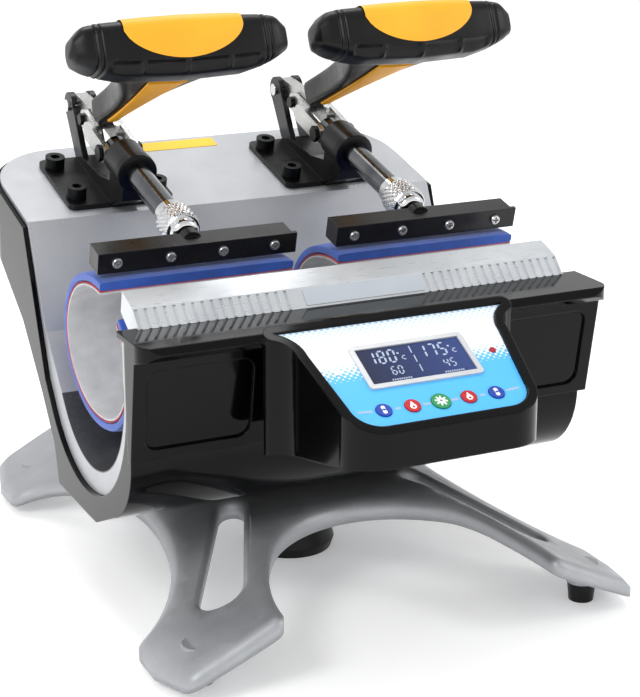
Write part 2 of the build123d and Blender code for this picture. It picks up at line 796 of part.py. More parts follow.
# One press station: toggle, handle, plunger, clamp bar and heater
def press_station(name, x0):
    cheek_in = lever_half + 0.5
    with BuildPart() as toggle_base:
        with BuildSketch(deck_plane(x0, 0, 0)):
            with Locations((0, plate_length / 2)):
                RectangleRounded(2 * plate_half_width, plate_length, 5)
        extrude(amount=plate_thickness)
        with BuildSketch(toggle_side(x0)):
            with BuildLine():
                Polyline((barrel_rear, axis_height - 6), (barrel_front, axis_height - 6),
                         (barrel_front + 2, 14), (1, 0.5), (66, 0.5), (62, 9), (24, 12),
                         (barrel_rear, 18), close=True)
            make_face()
        extrude(amount=9, both=True)
        for sx in (-1, 1):
            with BuildSketch(toggle_side(x0 + sx * (cheek_in + cheek_thickness / 2))):
                with BuildLine():
                    Polyline((46, 0.5), (69, 0.5), (pin_a[0] + 9, pin_a[1] - 3),
                             (pin_a[0] - 8, pin_a[1] + 3), (62, 14), close=True)
                make_face()
                with Locations(pin_a):
                    Circle(9)
            extrude(amount=cheek_thickness / 2, both=True)
        with BuildSketch(toggle_axis(x0, barrel_front, axis_height)):
            Circle(barrel_radius)
        extrude(amount=barrel_rear - barrel_front)
        with BuildSketch(toggle_axis(x0, barrel_front - 2, axis_height)):
            Circle(plunger_radius + FIT)
        extrude(amount=150, mode=Mode.SUBTRACT)
        with BuildSketch(toggle_side(x0)):
            with BuildLine():
                Polyline((barrel_rear, axis_height - 9.5), (70, axis_height - 9.5), (110, 40),
                         (110, 60), (barrel_rear, 60), close=True)
            make_face()
        extrude(amount=cheek_in, both=True, mode=Mode.SUBTRACT)
        with BuildSketch(toggle_side(x0)):
            with Locations(pin_a):
                Circle(pin_radius + FIT)
        extrude(amount=20, both=True, mode=Mode.SUBTRACT)
        with BuildSketch(deck_plane(x0, 0, -1)):
            with Locations((0, plate_length / 2)):
                with GridLocations(2 * (plate_half_width - 8), plate_length - 26, 2, 2):
                    Circle(3.1)
        extrude(amount=10, mode=Mode.SUBTRACT)
    finish(toggle_base, name + "_toggle_base")

    # Zinc lever: hub at the pivot, arm to the link pin, shank up into the handle
    shank_end = shank_length - 25
    ey, ez = handle_plane(x0, -shank_end).origin.Y, handle_plane(x0, -shank_end).origin.Z
    dy, dz = ey - toggle_y, ez - toggle_z
    end_t = dy * cos_deck + dz * sin_deck
    end_n = -dy * sin_deck + dz * cos_deck
    lift = math.radians(handle_angle)
    dt, dn = math.cos(lift), math.sin(lift)
    nt, nn = dn * 6, dt * 6
    run = (pin_b[0] - end_t) * dt - (pin_b[1] - end_n) * dn
    with BuildPart() as lever:
        with BuildSketch(toggle_side(x0)):
            with Locations(pin_a):
                Circle(8)
            with Locations(pin_b):
                Circle(8)
            make_hull()
            with BuildLine():
                Polyline((end_t - nt, end_n - nn), (end_t - nt + run * dt, end_n - nn - run * dn),
                         (end_t + nt + run * dt, end_n + nn - run * dn),
                         (end_t + nt, end_n + nn), close=True)
            make_face()
            with Locations(pin_a):
                Circle(pin_radius + FIT, mode=Mode.SUBTRACT)
        extrude(amount=lever_half, both=True)
    finish(lever, name + "_lever")

    # Grip: a paddle lofted from the boot to a cross grip, with a soft inlay
    def grip_outline(width, height):
        with BuildSketch(mode=Mode.PRIVATE) as face:
            with BuildLine():
                Polyline((-0.82 * width, 0.5 * height), (0, 0.58 * height), (0.82 * width, 0.5 * height),
                         (width, 0.05 * height), (0.76 * width, -0.5 * height),
                         (-0.76 * width, -0.5 * height), (-width, 0.05 * height), close=True)
            make_face()
            fillet(face.vertices(), radius=4)
        return face.sketch_local

    with BuildPart() as grip_block:
        for width, height, h in ((grip_half - 4, 31, -grip_depth / 2), (grip_half, 34, -grip_depth / 2 + 6),
                                 (grip_half, 34, grip_depth / 2 - 7), (grip_half - 6, 28, grip_depth / 2)):
            with BuildSketch(handle_plane(x0, h)):
                add(grip_outline(width, height))
        loft(ruled=True)
    with BuildPart() as inlay_zone:
        with BuildSketch(handle_plane(x0, grip_depth / 2 - 16)):
            with Locations((4, 9)):
                Ellipse(40, 14)
        extrude(amount=40)
    with BuildPart() as grip:
        with BuildSketch(handle_plane(x0, -shank_length)):
            RectangleRounded(17, 2 * boot_half, 4)
        with BuildSketch(handle_plane(x0, -shank_length * 0.55)):
            RectangleRounded(24, 2 * boot_half, 4)
        with BuildSketch(handle_plane(x0, -grip_depth / 2 + 1)):
            RectangleRounded(88, 2 * boot_half, 4)
        loft(ruled=True)
        with BuildSketch(handle_plane(x0, -shank_length - 1)):
            Rectangle(2 * lever_half + 0.1, 12.1)
        extrude(amount=26.2, mode=Mode.SUBTRACT)
        add(grip_block.part)
        add(inlay_zone.part, mode=Mode.SUBTRACT)
    finish(grip, name + "_grip")
    with BuildPart() as grip_inlays:
        add(grip_block.part)
        add(inlay_zone.part, mode=Mode.INTERSECT)
        underside = handle_plane(x0, 0, -boot_half - SEAT / 2)
        under = Plane(origin=underside.origin, x_dir=(1, 0, 0), z_dir=-underside.y_dir)
        with BuildSketch(under):
            with BuildLine():
                Polyline((-4, 12 - shank_length), (4, 12 - shank_length), (13, -grip_depth / 2 - 8),
                         (-13, -grip_depth / 2 - 8), close=True)
            make_face()
        extrude(amount=1.4)
    finish(grip_inlays, name + "_grip_inlays")

    # Links: two strips with an outward step, from the lever to the plunger eye
    inner_in = lever_half + 0.5
    outer_in = plunger_radius + 0.6
    with BuildPart() as links:
        mid_t = pin_b[0] - 20
        for sx in (-1, 1):
            for low, high, path in (
                    (inner_in, inner_in + link_thickness, (pin_b, (mid_t, pin_b[1] - 1.0))),
                    (inner_in, outer_in + link_thickness, ((mid_t + 2, pin_b[1] - 1.0), (mid_t - 2, pin_b[1] - 1.2))),
                    (outer_in, outer_in + link_thickness, (pin_c, (mid_t, pin_b[1] - 1.0)))):
                middle = sx * (low + high) / 2
                with BuildSketch(toggle_side(x0 + middle)):
                    for spot in path:
                        with Locations(spot):
                            Circle(6.5)
                    make_hull()
                extrude(amount=(high - low) / 2, both=True)
        with BuildSketch(toggle_side(x0)):
            with Locations(pin_b):
                Circle(pin_radius + FIT)
        extrude(amount=20, both=True, mode=Mode.SUBTRACT)
        with BuildSketch(toggle_side(x0)):
            with Locations(pin_c):
                Circle(pin_radius + FIT)
        extrude(amount=20, both=True, mode=Mode.SUBTRACT)
    finish(links, name + "_links")

    # The plunger pin runs right through. The link pin is cut at the faces of the lever, because
    # this pivot is left open: its two ends ride with the links and pass beside the lever.
    for label, spot, start, reach, head in (
            ("_link_pin", pin_b, lever_half + 0.3, inner_in + link_thickness + 0.4, 4.0),
            ("_plunger_pin", pin_c, 0.0, outer_in + link_thickness + 0.4, 5.6)):
        with BuildPart() as pin:
            for sx in (-1, 1):
                with BuildSketch(toggle_side(x0 + sx * start)):
                    with Locations(spot):
                        Circle(pin_radius)
                extrude(amount=sx * (reach - start))
                with BuildSketch(toggle_side(x0 + sx * reach)):
                    with Locations(spot):
                        RegularPolygon(head, 6)
                extrude(amount=sx * 2.4)
        finish(pin, name + label)

    with BuildPart() as plunger:
        with BuildSketch(toggle_axis(x0, plunger_front, axis_height)):
            Circle(plunger_radius)
        extrude(amount=pin_c_t + 7 - plunger_front)
        with BuildSketch(toggle_axis(x0, nut_rear + 0.4, axis_height)):
            Circle(plunger_radius - 1.5)
        extrude(amount=plunger_front - nut_rear)
        with BuildSketch(toggle_axis(x0, nut_front + 3, axis_height)):
            Circle(stud_radius + 1.5)
        extrude(amount=nut_rear - nut_front)
        with BuildSketch(toggle_axis(x0, nut_front + 2, axis_height)):
            Circle(stud_radius + FIT)
        extrude(amount=nut_rear - nut_front, mode=Mode.SUBTRACT)
        with BuildSketch(toggle_side(x0)):
            with Locations(pin_c):
                Circle(pin_radius + 0.02)
        extrude(amount=20, both=True, mode=Mode.SUBTRACT)
    finish(plunger, name + "_plunger")

    with BuildPart() as pressure_nut:
        with BuildSketch(toggle_axis(x0, nut_front, axis_height)):
            Circle(nut_radius)
        extrude(amount=nut_rear - nut_front)
        chamfer(edges().filter_by(GeomType.CIRCLE), length=1.5)
        with BuildSketch(toggle_axis(x0, nut_front - 5, axis_height)):
            RegularPolygon(8.5, 6)
        extrude(amount=5)
        with BuildSketch(toggle_axis(x0, nut_front - 6, axis_height)):
            Circle(stud_radius + 1.5 + FIT)
        extrude(amount=30, mode=Mode.SUBTRACT)
    finish(pressure_nut, name + "_pressure_nut")

    with BuildPart() as clamp_bar:
        bar_mid = (bar_bottom + bar_top) / 2
        with BuildSketch(toggle_axis(x0, bar_rear - bar_depth, bar_mid)):
            Rectangle(2 * bar_half, bar_top - bar_bottom)
        extrude(amount=bar_depth)
        with BuildSketch(toggle_axis(x0, bar_rear - 6, axis_height)):
            Circle(6.5)
        extrude(amount=6.5)
        with BuildSketch(toggle_axis(x0, bar_rear - 6, axis_height)):
            Circle(stud_radius)
        extrude(amount=nut_rear - bar_rear)
        with BuildSketch(toggle_axis(x0, bar_rear - bar_depth - 1, bar_mid)):
            with GridLocations(screw_pitch, 1, 4, 1):
                Circle(1.6)
        extrude(amount=9, mode=Mode.SUBTRACT)
    finish(clamp_bar, name + "_clamp_bar")

    plate_front = bar_rear - bar_depth - clamp_sheet
    with BuildPart() as clamp_plate:
        with BuildSketch(toggle_axis(x0, plate_front, bar_mid)):
            with Locations((1.5, 0)):
                Rectangle(2 * bar_half + 3, bar_top - bar_bottom)
            with GridLocations(screw_pitch, 1, 4, 1):
                Circle(1.6, mode=Mode.SUBTRACT)
        extrude(amount=clamp_sheet)
    finish(clamp_plate, name + "_clamp_plate")

    with BuildPart() as clamp_screws:
        with BuildSketch(toggle_axis(x0, plate_front, bar_mid)):
            with GridLocations(screw_pitch, 1, 4, 1):
                Circle(1.5)
        extrude(amount=8)
        with BuildSketch(toggle_axis(x0, plate_front - 1.8, bar_mid)):
            with GridLocations(screw_pitch, 1, 4, 1):
                Circle(screw_radius)
        extrude(amount=1.8)
    finish(clamp_screws, name + "_clamp_screws")

    with BuildPart() as heater_wrap:
        with BuildSketch(section(x0)):
            add(wrap_section(wrap_half_y, wrap_half_z, wrap_thickness))
        extrude(amount=bar_half, both=True)
    finish(heater_wrap, name + "_heater_wrap")

    with BuildPart() as heater_sheet:
        inner = wrap_thickness + SEAT / 2
        with BuildSketch(section(x0)):
            add(wrap_section(wrap_half_y - inner, wrap_half_z - inner, sheet_thickness))
        extrude(amount=bar_half, both=True)
    finish(heater_sheet, name + "_heater_sheet")


for station_name, station_x in (("left", -station), ("right", station)):
    press_station(station_name, station_x)
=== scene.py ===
# %% Double mug heat press
import bpy
import math
import numpy as np
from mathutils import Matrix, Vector
from mathutils.geometry import delaunay_2d_cdt


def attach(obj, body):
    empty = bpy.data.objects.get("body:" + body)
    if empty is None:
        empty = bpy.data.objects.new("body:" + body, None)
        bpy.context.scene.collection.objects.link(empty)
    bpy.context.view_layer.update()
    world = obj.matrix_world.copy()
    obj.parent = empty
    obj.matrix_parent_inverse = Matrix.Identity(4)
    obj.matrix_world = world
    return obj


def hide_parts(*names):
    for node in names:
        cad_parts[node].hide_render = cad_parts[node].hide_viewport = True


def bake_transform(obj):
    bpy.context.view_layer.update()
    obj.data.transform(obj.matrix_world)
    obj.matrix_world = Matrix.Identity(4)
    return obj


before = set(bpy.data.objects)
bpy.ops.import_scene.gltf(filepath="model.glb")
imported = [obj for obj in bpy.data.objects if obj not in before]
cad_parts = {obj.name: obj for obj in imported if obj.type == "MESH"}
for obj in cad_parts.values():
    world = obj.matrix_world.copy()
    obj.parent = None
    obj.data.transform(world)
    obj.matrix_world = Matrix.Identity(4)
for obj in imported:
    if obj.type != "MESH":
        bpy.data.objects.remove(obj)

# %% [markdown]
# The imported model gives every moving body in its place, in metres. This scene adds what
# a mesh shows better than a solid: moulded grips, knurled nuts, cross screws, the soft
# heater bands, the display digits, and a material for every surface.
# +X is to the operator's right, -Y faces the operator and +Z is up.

MM = 0.001
DECK = math.radians(14.0)
PANEL = math.radians(26.57)
STATION = 77.2
SIDES = (("left", -STATION), ("right", STATION))
TOGGLE_Y, TOGGLE_Z = 92.3, 215.0 + 8.3 * math.tan(DECK)
AXIS_N = 33.5
BUTTON_ROW = 49.8
WAIST_X, WAIST_IN, WAIST_HALF = 160, 60, 123
ARCH_HALF, ARCH_DEEP, BASE_DEEP = 87, 105, 189
FOOT_X, FOOT_Y = 127, 156


def write_size():
    """Brings the view layer up to date."""
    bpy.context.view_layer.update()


write_size()

# %% [markdown]
# ## Frames
# Two slanted frames come back again and again. The toggle frame lies on the deck: t runs
# up the slope and n square to it. The panel frame has u across, s down the slope and
# h square to the panel.

# %% Frames


def toggle_basis(x, t, n):
    """Returns origin and axes of the toggle frame at (x, t, n):
    y = Y0 + t cos a - n sin a,  z = Z0 + t sin a + n cos a,  a = 14 degrees."""
    c, s = math.cos(DECK), math.sin(DECK)
    origin = np.array([x, TOGGLE_Y + t * c - n * s, TOGGLE_Z + t * s + n * c])
    return origin, np.array([1.0, 0, 0]), np.array([0, c, s]), np.array([0, -s, c])


def panel_point(u, s, h):
    """Point of the panel in millimetres: P = P0 + u X + s D + h N."""
    c, k = math.cos(PANEL), math.sin(PANEL)
    return np.array([u, -155.6 - s * c - h * k, 183.8 - s * k + h * c])


def handle_basis(x):
    """Origin and axes of a grip: across, forwards along the handle, and square to it."""
    origin = toggle_basis(x, -77.0, 139.0)[0]
    tilt = math.radians(14.0 - 36.5)
    c, s = math.cos(tilt), math.sin(tilt)
    return origin, np.array([1.0, 0, 0]), np.array([0, -c, -s]), np.array([0, -s, c])


# %% [markdown]
# ## Mesh building
# A surface is a grid of points, row after row. Rows can close on themselves, and the ends
# can be capped. Everything is worked out in millimetres and stored in metres.

# %% Mesh building


def mesh_piece(name, points, faces, material, body, smooth=True, sharp=35.0):
    """Makes a mesh object from points in millimetres and lets it ride on a body."""
    mesh = bpy.data.meshes.new(name)
    mesh.from_pydata((np.asarray(points, float) * MM).tolist(), [], faces)
    mesh.update()
    mesh.polygons.foreach_set("use_smooth", [smooth] * len(mesh.polygons))
    if smooth:
        mesh.set_sharp_from_angle(angle=math.radians(sharp))
    obj = bpy.data.objects.new(name, mesh)
    bpy.context.scene.collection.objects.link(obj)
    mesh.materials.append(material)
    if body:
        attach(obj, body)
    return obj


def grid_faces(rows, cols, wrap_cols=True, wrap_rows=False, caps=True):
    """Quads of a rows x cols grid, with n-gon caps on the first and last row."""
    faces = []
    for r in range(rows if wrap_rows else rows - 1):
        for c in range(cols if wrap_cols else cols - 1):
            a, b = r * cols + c, r * cols + (c + 1) % cols
            d, e = ((r + 1) % rows) * cols + c, ((r + 1) % rows) * cols + (c + 1) % cols
            faces.append((a, b, e, d))
    if caps and wrap_cols and not wrap_rows:
        faces.append(tuple(range(cols - 1, -1, -1)))
        faces.append(tuple((rows - 1) * cols + c for c in range(cols)))
    return faces


def superellipse(angle, a, b, power):
    """x = a sgn(cos t)|cos t|^(2/p),  y = b sgn(sin t)|sin t|^(2/p)."""
    c, s = np.cos(angle), np.sin(angle)
    return (a * np.sign(c) * np.abs(c) ** (2 / power), b * np.sign(s) * np.abs(s) ** (2 / power))


def revolve(name, profile, origin, across, along, up, material, body, count=48, ripple=None):
    """Turns (distance along, radius) pairs about an axis. ripple(angle, distance, radius)
    gives a small change of radius, for knurls and grooves."""
    angle = np.linspace(0, 2 * math.pi, count, endpoint=False)
    points = []
    for distance, radius in profile:
        r = np.full(count, float(radius))
        if ripple is not None:
            r = r + ripple(angle, distance, radius)
        points.append(origin + distance * along + np.outer(r * np.cos(angle), across)
                      + np.outer(r * np.sin(angle), up))
    return mesh_piece(name, np.concatenate(points), grid_faces(len(profile), count), material, body)


def joined(name, parts, material, body, smooth=True):
    """Joins (points, faces) pairs into one piece."""
    points, faces, base = [], [], 0
    for pts, fcs in parts:
        points.append(np.asarray(pts, float))
        faces += [tuple(i + base for i in f) for f in fcs]
        base += len(pts)
    return mesh_piece(name, np.concatenate(points), faces, material, body, smooth)


# %% [markdown]
# ## Materials
# Colours are written as they read on screen and turned into linear light once. Each
# material takes its detail from object coordinates in millimetres, so a scale of 1 means
# features of about a millimetre.

# %% Material helpers


def rgb(code):
    """Linear colour from an sRGB hex code: c/12.92 or ((c + 0.055)/1.055)^2.4."""
    value = [int(code[i:i + 2], 16) / 255 for i in (0, 2, 4)]
    return [v / 12.92 if v <= 0.04045 else ((v + 0.055) / 1.055) ** 2.4 for v in value] + [1.0]


def add(tree, kind, inputs=None, **settings):
    """Adds a node, sets its fields and fills its inputs with values or links."""
    made = tree.nodes.new(kind)
    for key, value in settings.items():
        setattr(made, key, value)
    for key, value in (inputs or {}).items():
        if isinstance(value, bpy.types.NodeSocket):
            tree.links.new(value, made.inputs[key])
        else:
            made.inputs[key].default_value = value
    return made


def start(name, **shader):
    """A new material with its main shader and millimetre coordinates."""
    material = bpy.data.materials.new(name)
    material.use_nodes = True
    tree = material.node_tree
    main = tree.nodes["Principled BSDF"]
    for key, value in shader.items():
        main.inputs[key.replace("_", " ")].default_value = value
    place = add(tree, "ShaderNodeTexCoord").outputs["Object"]
    scaled = add(tree, "ShaderNodeVectorMath", {0: place, 1: (1000, 1000, 1000)}, operation="MULTIPLY")
    return material, tree, main, scaled.outputs[0]


def noise(tree, place, scale, detail=3.0, rough=0.55):
    """Noise whose features are about 1/scale millimetres wide."""
    return add(tree, "ShaderNodeTexNoise", {"Vector": place, "Scale": scale, "Detail": detail,
                                            "Roughness": rough}).outputs["Fac"]


def spread(tree, value, low, high):
    """Maps 0..1 noise to low..high."""
    return add(tree, "ShaderNodeMapRange", {"Value": value, "From Min": 0.3, "From Max": 0.7,
                                            "To Min": low, "To Max": high}).outputs[0]


def mix(tree, factor, one, two):
    """Blends two colours or colour outputs."""
    made = tree.nodes.new("ShaderNodeMix")
    made.data_type = "RGBA"
    for socket, value in ((made.inputs[0], factor), (made.inputs[6], one), (made.inputs[7], two)):
        if isinstance(value, bpy.types.NodeSocket):
            tree.links.new(value, socket)
        else:
            socket.default_value = value
    return made.outputs[2]


def finish_surface(tree, main, color=None, rough=None, height=None, depth=0.05, edge=0.5):
    """Links colour, roughness and bump. Depth is in millimetres, edge is a softened edge."""
    if color is not None:
        tree.links.new(color, main.inputs["Base Color"])
    if rough is not None:
        tree.links.new(rough, main.inputs["Roughness"])
    normal = None
    if edge:
        normal = add(tree, "ShaderNodeBevel", {"Radius": edge * MM}, samples=4).outputs[0]
    if height is not None:
        settings = {"Height": height, "Distance": depth * MM, "Strength": 1.0}
        if normal is not None:
            settings["Normal"] = normal
        normal = add(tree, "ShaderNodeBump", settings).outputs[0]
    if normal is not None:
        tree.links.new(normal, main.inputs["Normal"])


def coated(name, code, shade, rough=(0.3, 0.4), scale=0.4, depth=0.02, edge=0.6, painted_sparkle=0.0,
           region=None, inside=None, **shader):
    """Paint or plastic: soft colour clouds, uneven gloss, fine texture and bright specks, white painted
    sparkle that stands in for glints of light. Where region(tree, place) is 1, the colour is inside instead."""
    material, tree, main, place = start(name, **shader)
    color = mix(tree, spread(tree, noise(tree, place, 0.02, 4), 0, 1), rgb(code), rgb(shade))
    if region is not None:
        color = mix(tree, region(tree, place), color, rgb(inside))
    # Painted sparkle: white specks mixed into the colour stand in for glints of light.
    if painted_sparkle:
        dots = add(tree, "ShaderNodeMapRange", {"Value": noise(tree, place, 2.2, 2), "From Min": 0.6,
                                                "From Max": 0.75, "To Max": painted_sparkle}).outputs[0]
        color = mix(tree, dots, color, (1, 1, 1, 1))
    gloss = spread(tree, noise(tree, place, 0.06, 5), *rough)
    finish_surface(tree, main, color, gloss, noise(tree, place, scale, 4), depth, edge)
    return material


def metal(name, code, rough=(0.2, 0.35), stretch=(1, 1, 1), scale=1.0, depth=0.004, edge=0.3):
    """Bare or plated metal, with a grain that stretch draws out along an axis."""
    material, tree, main, place = start(name, Metallic=1.0)
    grain = add(tree, "ShaderNodeVectorMath", {0: place, 1: stretch}, operation="MULTIPLY").outputs[0]
    streak = noise(tree, grain, scale, 4)
    color = mix(tree, spread(tree, noise(tree, place, 0.05, 3), 0, 0.5), rgb(code), rgb("8E9092"))
    finish_surface(tree, main, color, spread(tree, streak, *rough), streak, depth, edge)
    return material


def trough_shade_mask(tree, place):
    """1 on the inner skin of the trough, where dark painted shade goes: hypot(y + 29, z - 152) < 64.3 and z
    < 178.
    """
    split = add(tree, "ShaderNodeSeparateXYZ", {0: place})
    dy = add(tree, "ShaderNodeMath", {0: split.outputs[1], 1: 29.0}, operation="ADD").outputs[0]
    dz = add(tree, "ShaderNodeMath", {0: split.outputs[2], 1: -152.0}, operation="ADD").outputs[0]
    flat_place = add(tree, "ShaderNodeCombineXYZ", {0: dy, 1: dz}).outputs[0]
    away = add(tree, "ShaderNodeVectorMath", {0: flat_place}, operation="LENGTH").outputs["Value"]
    near = add(tree, "ShaderNodeMath", {0: away, 1: 64.3}, operation="LESS_THAN").outputs[0]
    low = add(tree, "ShaderNodeMath", {0: split.outputs[2], 1: 178.0}, operation="LESS_THAN").outputs[0]
    return add(tree, "ShaderNodeMath", {0: near, 1: low}, operation="MULTIPLY").outputs[0]


def left_side(tree, place):
    """1 where x < 0."""
    split = add(tree, "ShaderNodeSeparateXYZ", {0: place})
    return add(tree, "ShaderNodeMath", {0: split.outputs[0], 1: 0.0}, operation="LESS_THAN").outputs[0]


# %% Materials
# On the inner skin of the trough the silver paint turns dark grey 4A4A4C, painted shade of the deep hollow.
silver_paint = coated("satin silver paint", "B4B6B9", "A8AAAE", (0.34, 0.46), 0.5, 0.015, 0.8, 0.25,
                      trough_shade_mask, "4A4A4C", Metallic=0.45)
# White painted sparkle, standing in for glints of light, is mixed into this casting (0.2) and into the
# silver paint above (0.25).
cast_paint = coated("painted sand casting", "ABADB0", "9A9CA0", (0.40, 0.55), 0.45, 0.07, 1.0, 0.2,
                    Metallic=0.50)
gloss_black = coated("gloss black moulding", "020203", "040405", (0.06, 0.12), 0.15, 0.006, 1.4,
                     Specular_IOR_Level=0.16)
lenses = coated("indicator lenses", "B21E2B", "A01824", (0.15, 0.25), 0.6, 0.005, 0.3, 0.0,
                left_side, "EAF4FC")
matt_black = coated("matt black moulding", "161617", "1C1C1E", (0.45, 0.6), 1.5, 0.03, 0.5)
powder_black = coated("black powder coat", "070708", "0C0C0D", (0.24, 0.4), 1.1, 0.04, 0.6,
                      Specular_IOR_Level=0.3)
rubber = coated("black rubber", "050505", "0A0A0A", (0.28, 0.42), 1.4, 0.04, 0.5, Specular_IOR_Level=0.24)
anodised = coated("black anodised bar", "0A0A0B", "101011", (0.24, 0.36), 0.9, 0.02, 0.5,
                  Specular_IOR_Level=0.35)
trim_silver = coated("satin trim paint", "D5D7D9", "C6C8CB", (0.28, 0.4), 0.8, 0.01, 0.4, Metallic=0.4)
gun_metal = metal("dark polished rod", "55575B", (0.12, 0.22), (1, 1, 1), 0.4, 0.003)
chrome = metal("polished chrome", "E8E9EA", (0.05, 0.12), scale=0.15, depth=0.002)
zinc = metal("zinc plated steel", "C8C9C6", (0.22, 0.38), (1, 1, 1), 0.8, 0.008)
steel_black = coated("blackened steel", "141516", "1C1D1E", (0.3, 0.45), 1.2, 0.02, 0.3, Metallic=0.8)
red_plastic = coated("red moulding", "C21B22", "B0151C", (0.2, 0.3), 0.6, 0.01, 0.3)
blue_plastic = coated("blue moulding", "1F45B0", "1A3A98", (0.2, 0.3), 0.6, 0.01, 0.3)
green_plastic = coated("green moulding", "2E9A5C", "27864F", (0.2, 0.3), 0.6, 0.01, 0.3)
white_print = coated("white print", "F2F4F5", "E6EAEC", (0.35, 0.45), 1.0, 0.005, 0)
grey_print = coated("grey print", "A9B7CC", "9FAEC4", (0.35, 0.45), 1.0, 0.005, 0)
board_green = coated("solder mask", "14532D", "0F4525", (0.3, 0.45), 0.5, 0.02, 0.3)
nylon = coated("white nylon", "E3E2DC", "D7D6CF", (0.4, 0.55), 0.8, 0.01, 0.3)
yellow_label = coated("yellow film", "F5C518", "EDBB10", (0.35, 0.5), 0.6, 0.01, 0)
blank_film = coated("grey film", "B9BFC6", "AEB5BD", (0.3, 0.4), 0.8, 0.01, 0)
orange_inlay = coated("orange soft inlay", "F3AC1C", "EBA012", (0.45, 0.6), 1.2, 0.04, 0.3)
red_felt = coated("red edge layer", "C8545A", "B8454B", (0.7, 0.85), 2.0, 0.08, 0.2)
digit_light = coated("display segments", "AEBBD0", "A0AEC6", (0.3, 0.4), 0.5, 0.0, 0)


def woven(name, code, shade, pitch=1.1, depth=0.12, sheen=0.3):
    """Coated glass cloth: two crossed thread waves, clouds of colour and a soft sheen."""
    material, tree, main, place = start(name, Sheen_Weight=sheen, Sheen_Roughness=0.5)
    waves = []
    for axis in ("X", "Y"):
        waves.append(add(tree, "ShaderNodeTexWave", {"Vector": place, "Scale": 0.314 / pitch,
                                                     "Distortion": 0.4, "Detail": 1.0},
                         bands_direction=axis).outputs["Fac"])
    weave = add(tree, "ShaderNodeMath", {0: waves[0], 1: waves[1]}, operation="MAXIMUM").outputs[0]
    fuzz = noise(tree, place, 3.0, 4)
    height = add(tree, "ShaderNodeMath", {0: weave, 1: fuzz}, operation="ADD").outputs[0]
    color = mix(tree, spread(tree, noise(tree, place, 0.08, 5), 0, 1), rgb(code), rgb(shade))
    finish_surface(tree, main, color, spread(tree, fuzz, 0.62, 0.85), height, depth, 0.4)
    return material


blue_band = woven("blue silicone cloth", "1552B4", "0F4299")
grey_band = woven("grey silicone sheet", "C6C7CA", "B2B2B5", 1.6, 0.03, 0.1)


def ribbed(name):
    """Rolled trim with a fine brushed grain along its length."""
    material, tree, main, place = start(name, Metallic=0.55)
    grain = add(tree, "ShaderNodeVectorMath", {0: place, 1: (0.05, 1, 1)}, operation="MULTIPLY").outputs[0]
    streak = noise(tree, grain, 1.6, 4)
    color = mix(tree, spread(tree, noise(tree, place, 0.03, 3), 0, 1), rgb("D3D6D9"), rgb("BFC3C7"))
    finish_surface(tree, main, color, spread(tree, streak, 0.26, 0.38), streak, 0.01, 0.35)
    return material


bar_trim = ribbed("brushed trim bar")


def panel_film(name):
    """Printed film. The slope distance s = -(y + 155.6)/cos a drives a blue field, a white
    band and a grid of dots whose radius grows with the distance from the band."""
    material, tree, main, place = start(name, Roughness=0.32)
    split = add(tree, "ShaderNodeSeparateXYZ", {0: place})
    slope = add(tree, "ShaderNodeMapRange", {"Value": split.outputs[1], "From Min": -155.6,
                                             "From Max": -155.6 - 62 * math.cos(PANEL), "To Min": 0,
                                             "To Max": 62}, clamp=False).outputs[0]
    across = add(tree, "ShaderNodeMath", {0: split.outputs[0], 1: 1.9}, operation="DIVIDE").outputs[0]
    down = add(tree, "ShaderNodeMath", {0: slope, 1: 1.9}, operation="DIVIDE").outputs[0]
    turned = []
    for op in ("ADD", "SUBTRACT"):
        both = add(tree, "ShaderNodeMath", {0: across, 1: down}, operation=op).outputs[0]
        near = add(tree, "ShaderNodeMath", {0: both, 1: 1.0}, operation="PINGPONG").outputs[0]
        turned.append(near)
    far = add(tree, "ShaderNodeMath", {0: turned[0], 1: turned[1]}, operation="ADD").outputs[0]
    top = add(tree, "ShaderNodeMapRange", {"Value": slope, "From Min": -19, "From Max": -3, "To Min": 1.05,
                                           "To Max": 0.1}).outputs[0]
    low = add(tree, "ShaderNodeMapRange", {"Value": slope, "From Min": 10, "From Max": 27, "To Min": 0.1,
                                           "To Max": 2.0}).outputs[0]
    size = add(tree, "ShaderNodeMath", {0: top, 1: low}, operation="MAXIMUM").outputs[0]
    inside = add(tree, "ShaderNodeMath", {0: far, 1: size}, operation="LESS_THAN").outputs[0]
    field = add(tree, "ShaderNodeMapRange", {"Value": slope, "From Min": -10, "From Max": 25}).outputs[0]
    blue = mix(tree, field, rgb("A9D3F2"), rgb("4DB3F5"))
    color = mix(tree, inside, rgb("EEF3FA"), blue)
    finish_surface(tree, main, color, spread(tree, noise(tree, place, 0.1, 3), 0.28, 0.36),
                   noise(tree, place, 1.5, 2), 0.004, 0)
    return material


film = panel_film("printed panel film")


def display(name):
    """Dark display window with a faint blue glow towards one side."""
    material, tree, main, place = start(name, Roughness=0.12)
    split = add(tree, "ShaderNodeSeparateXYZ", {0: place})
    side = add(tree, "ShaderNodeMapRange", {"Value": split.outputs[0], "From Min": -33,
                                            "From Max": 33}).outputs[0]
    color = mix(tree, side, rgb("1B2240"), rgb("2B3F78"))
    finish_surface(tree, main, color, None, noise(tree, place, 0.3, 2), 0.003, 0)
    return material


window = display("display window")

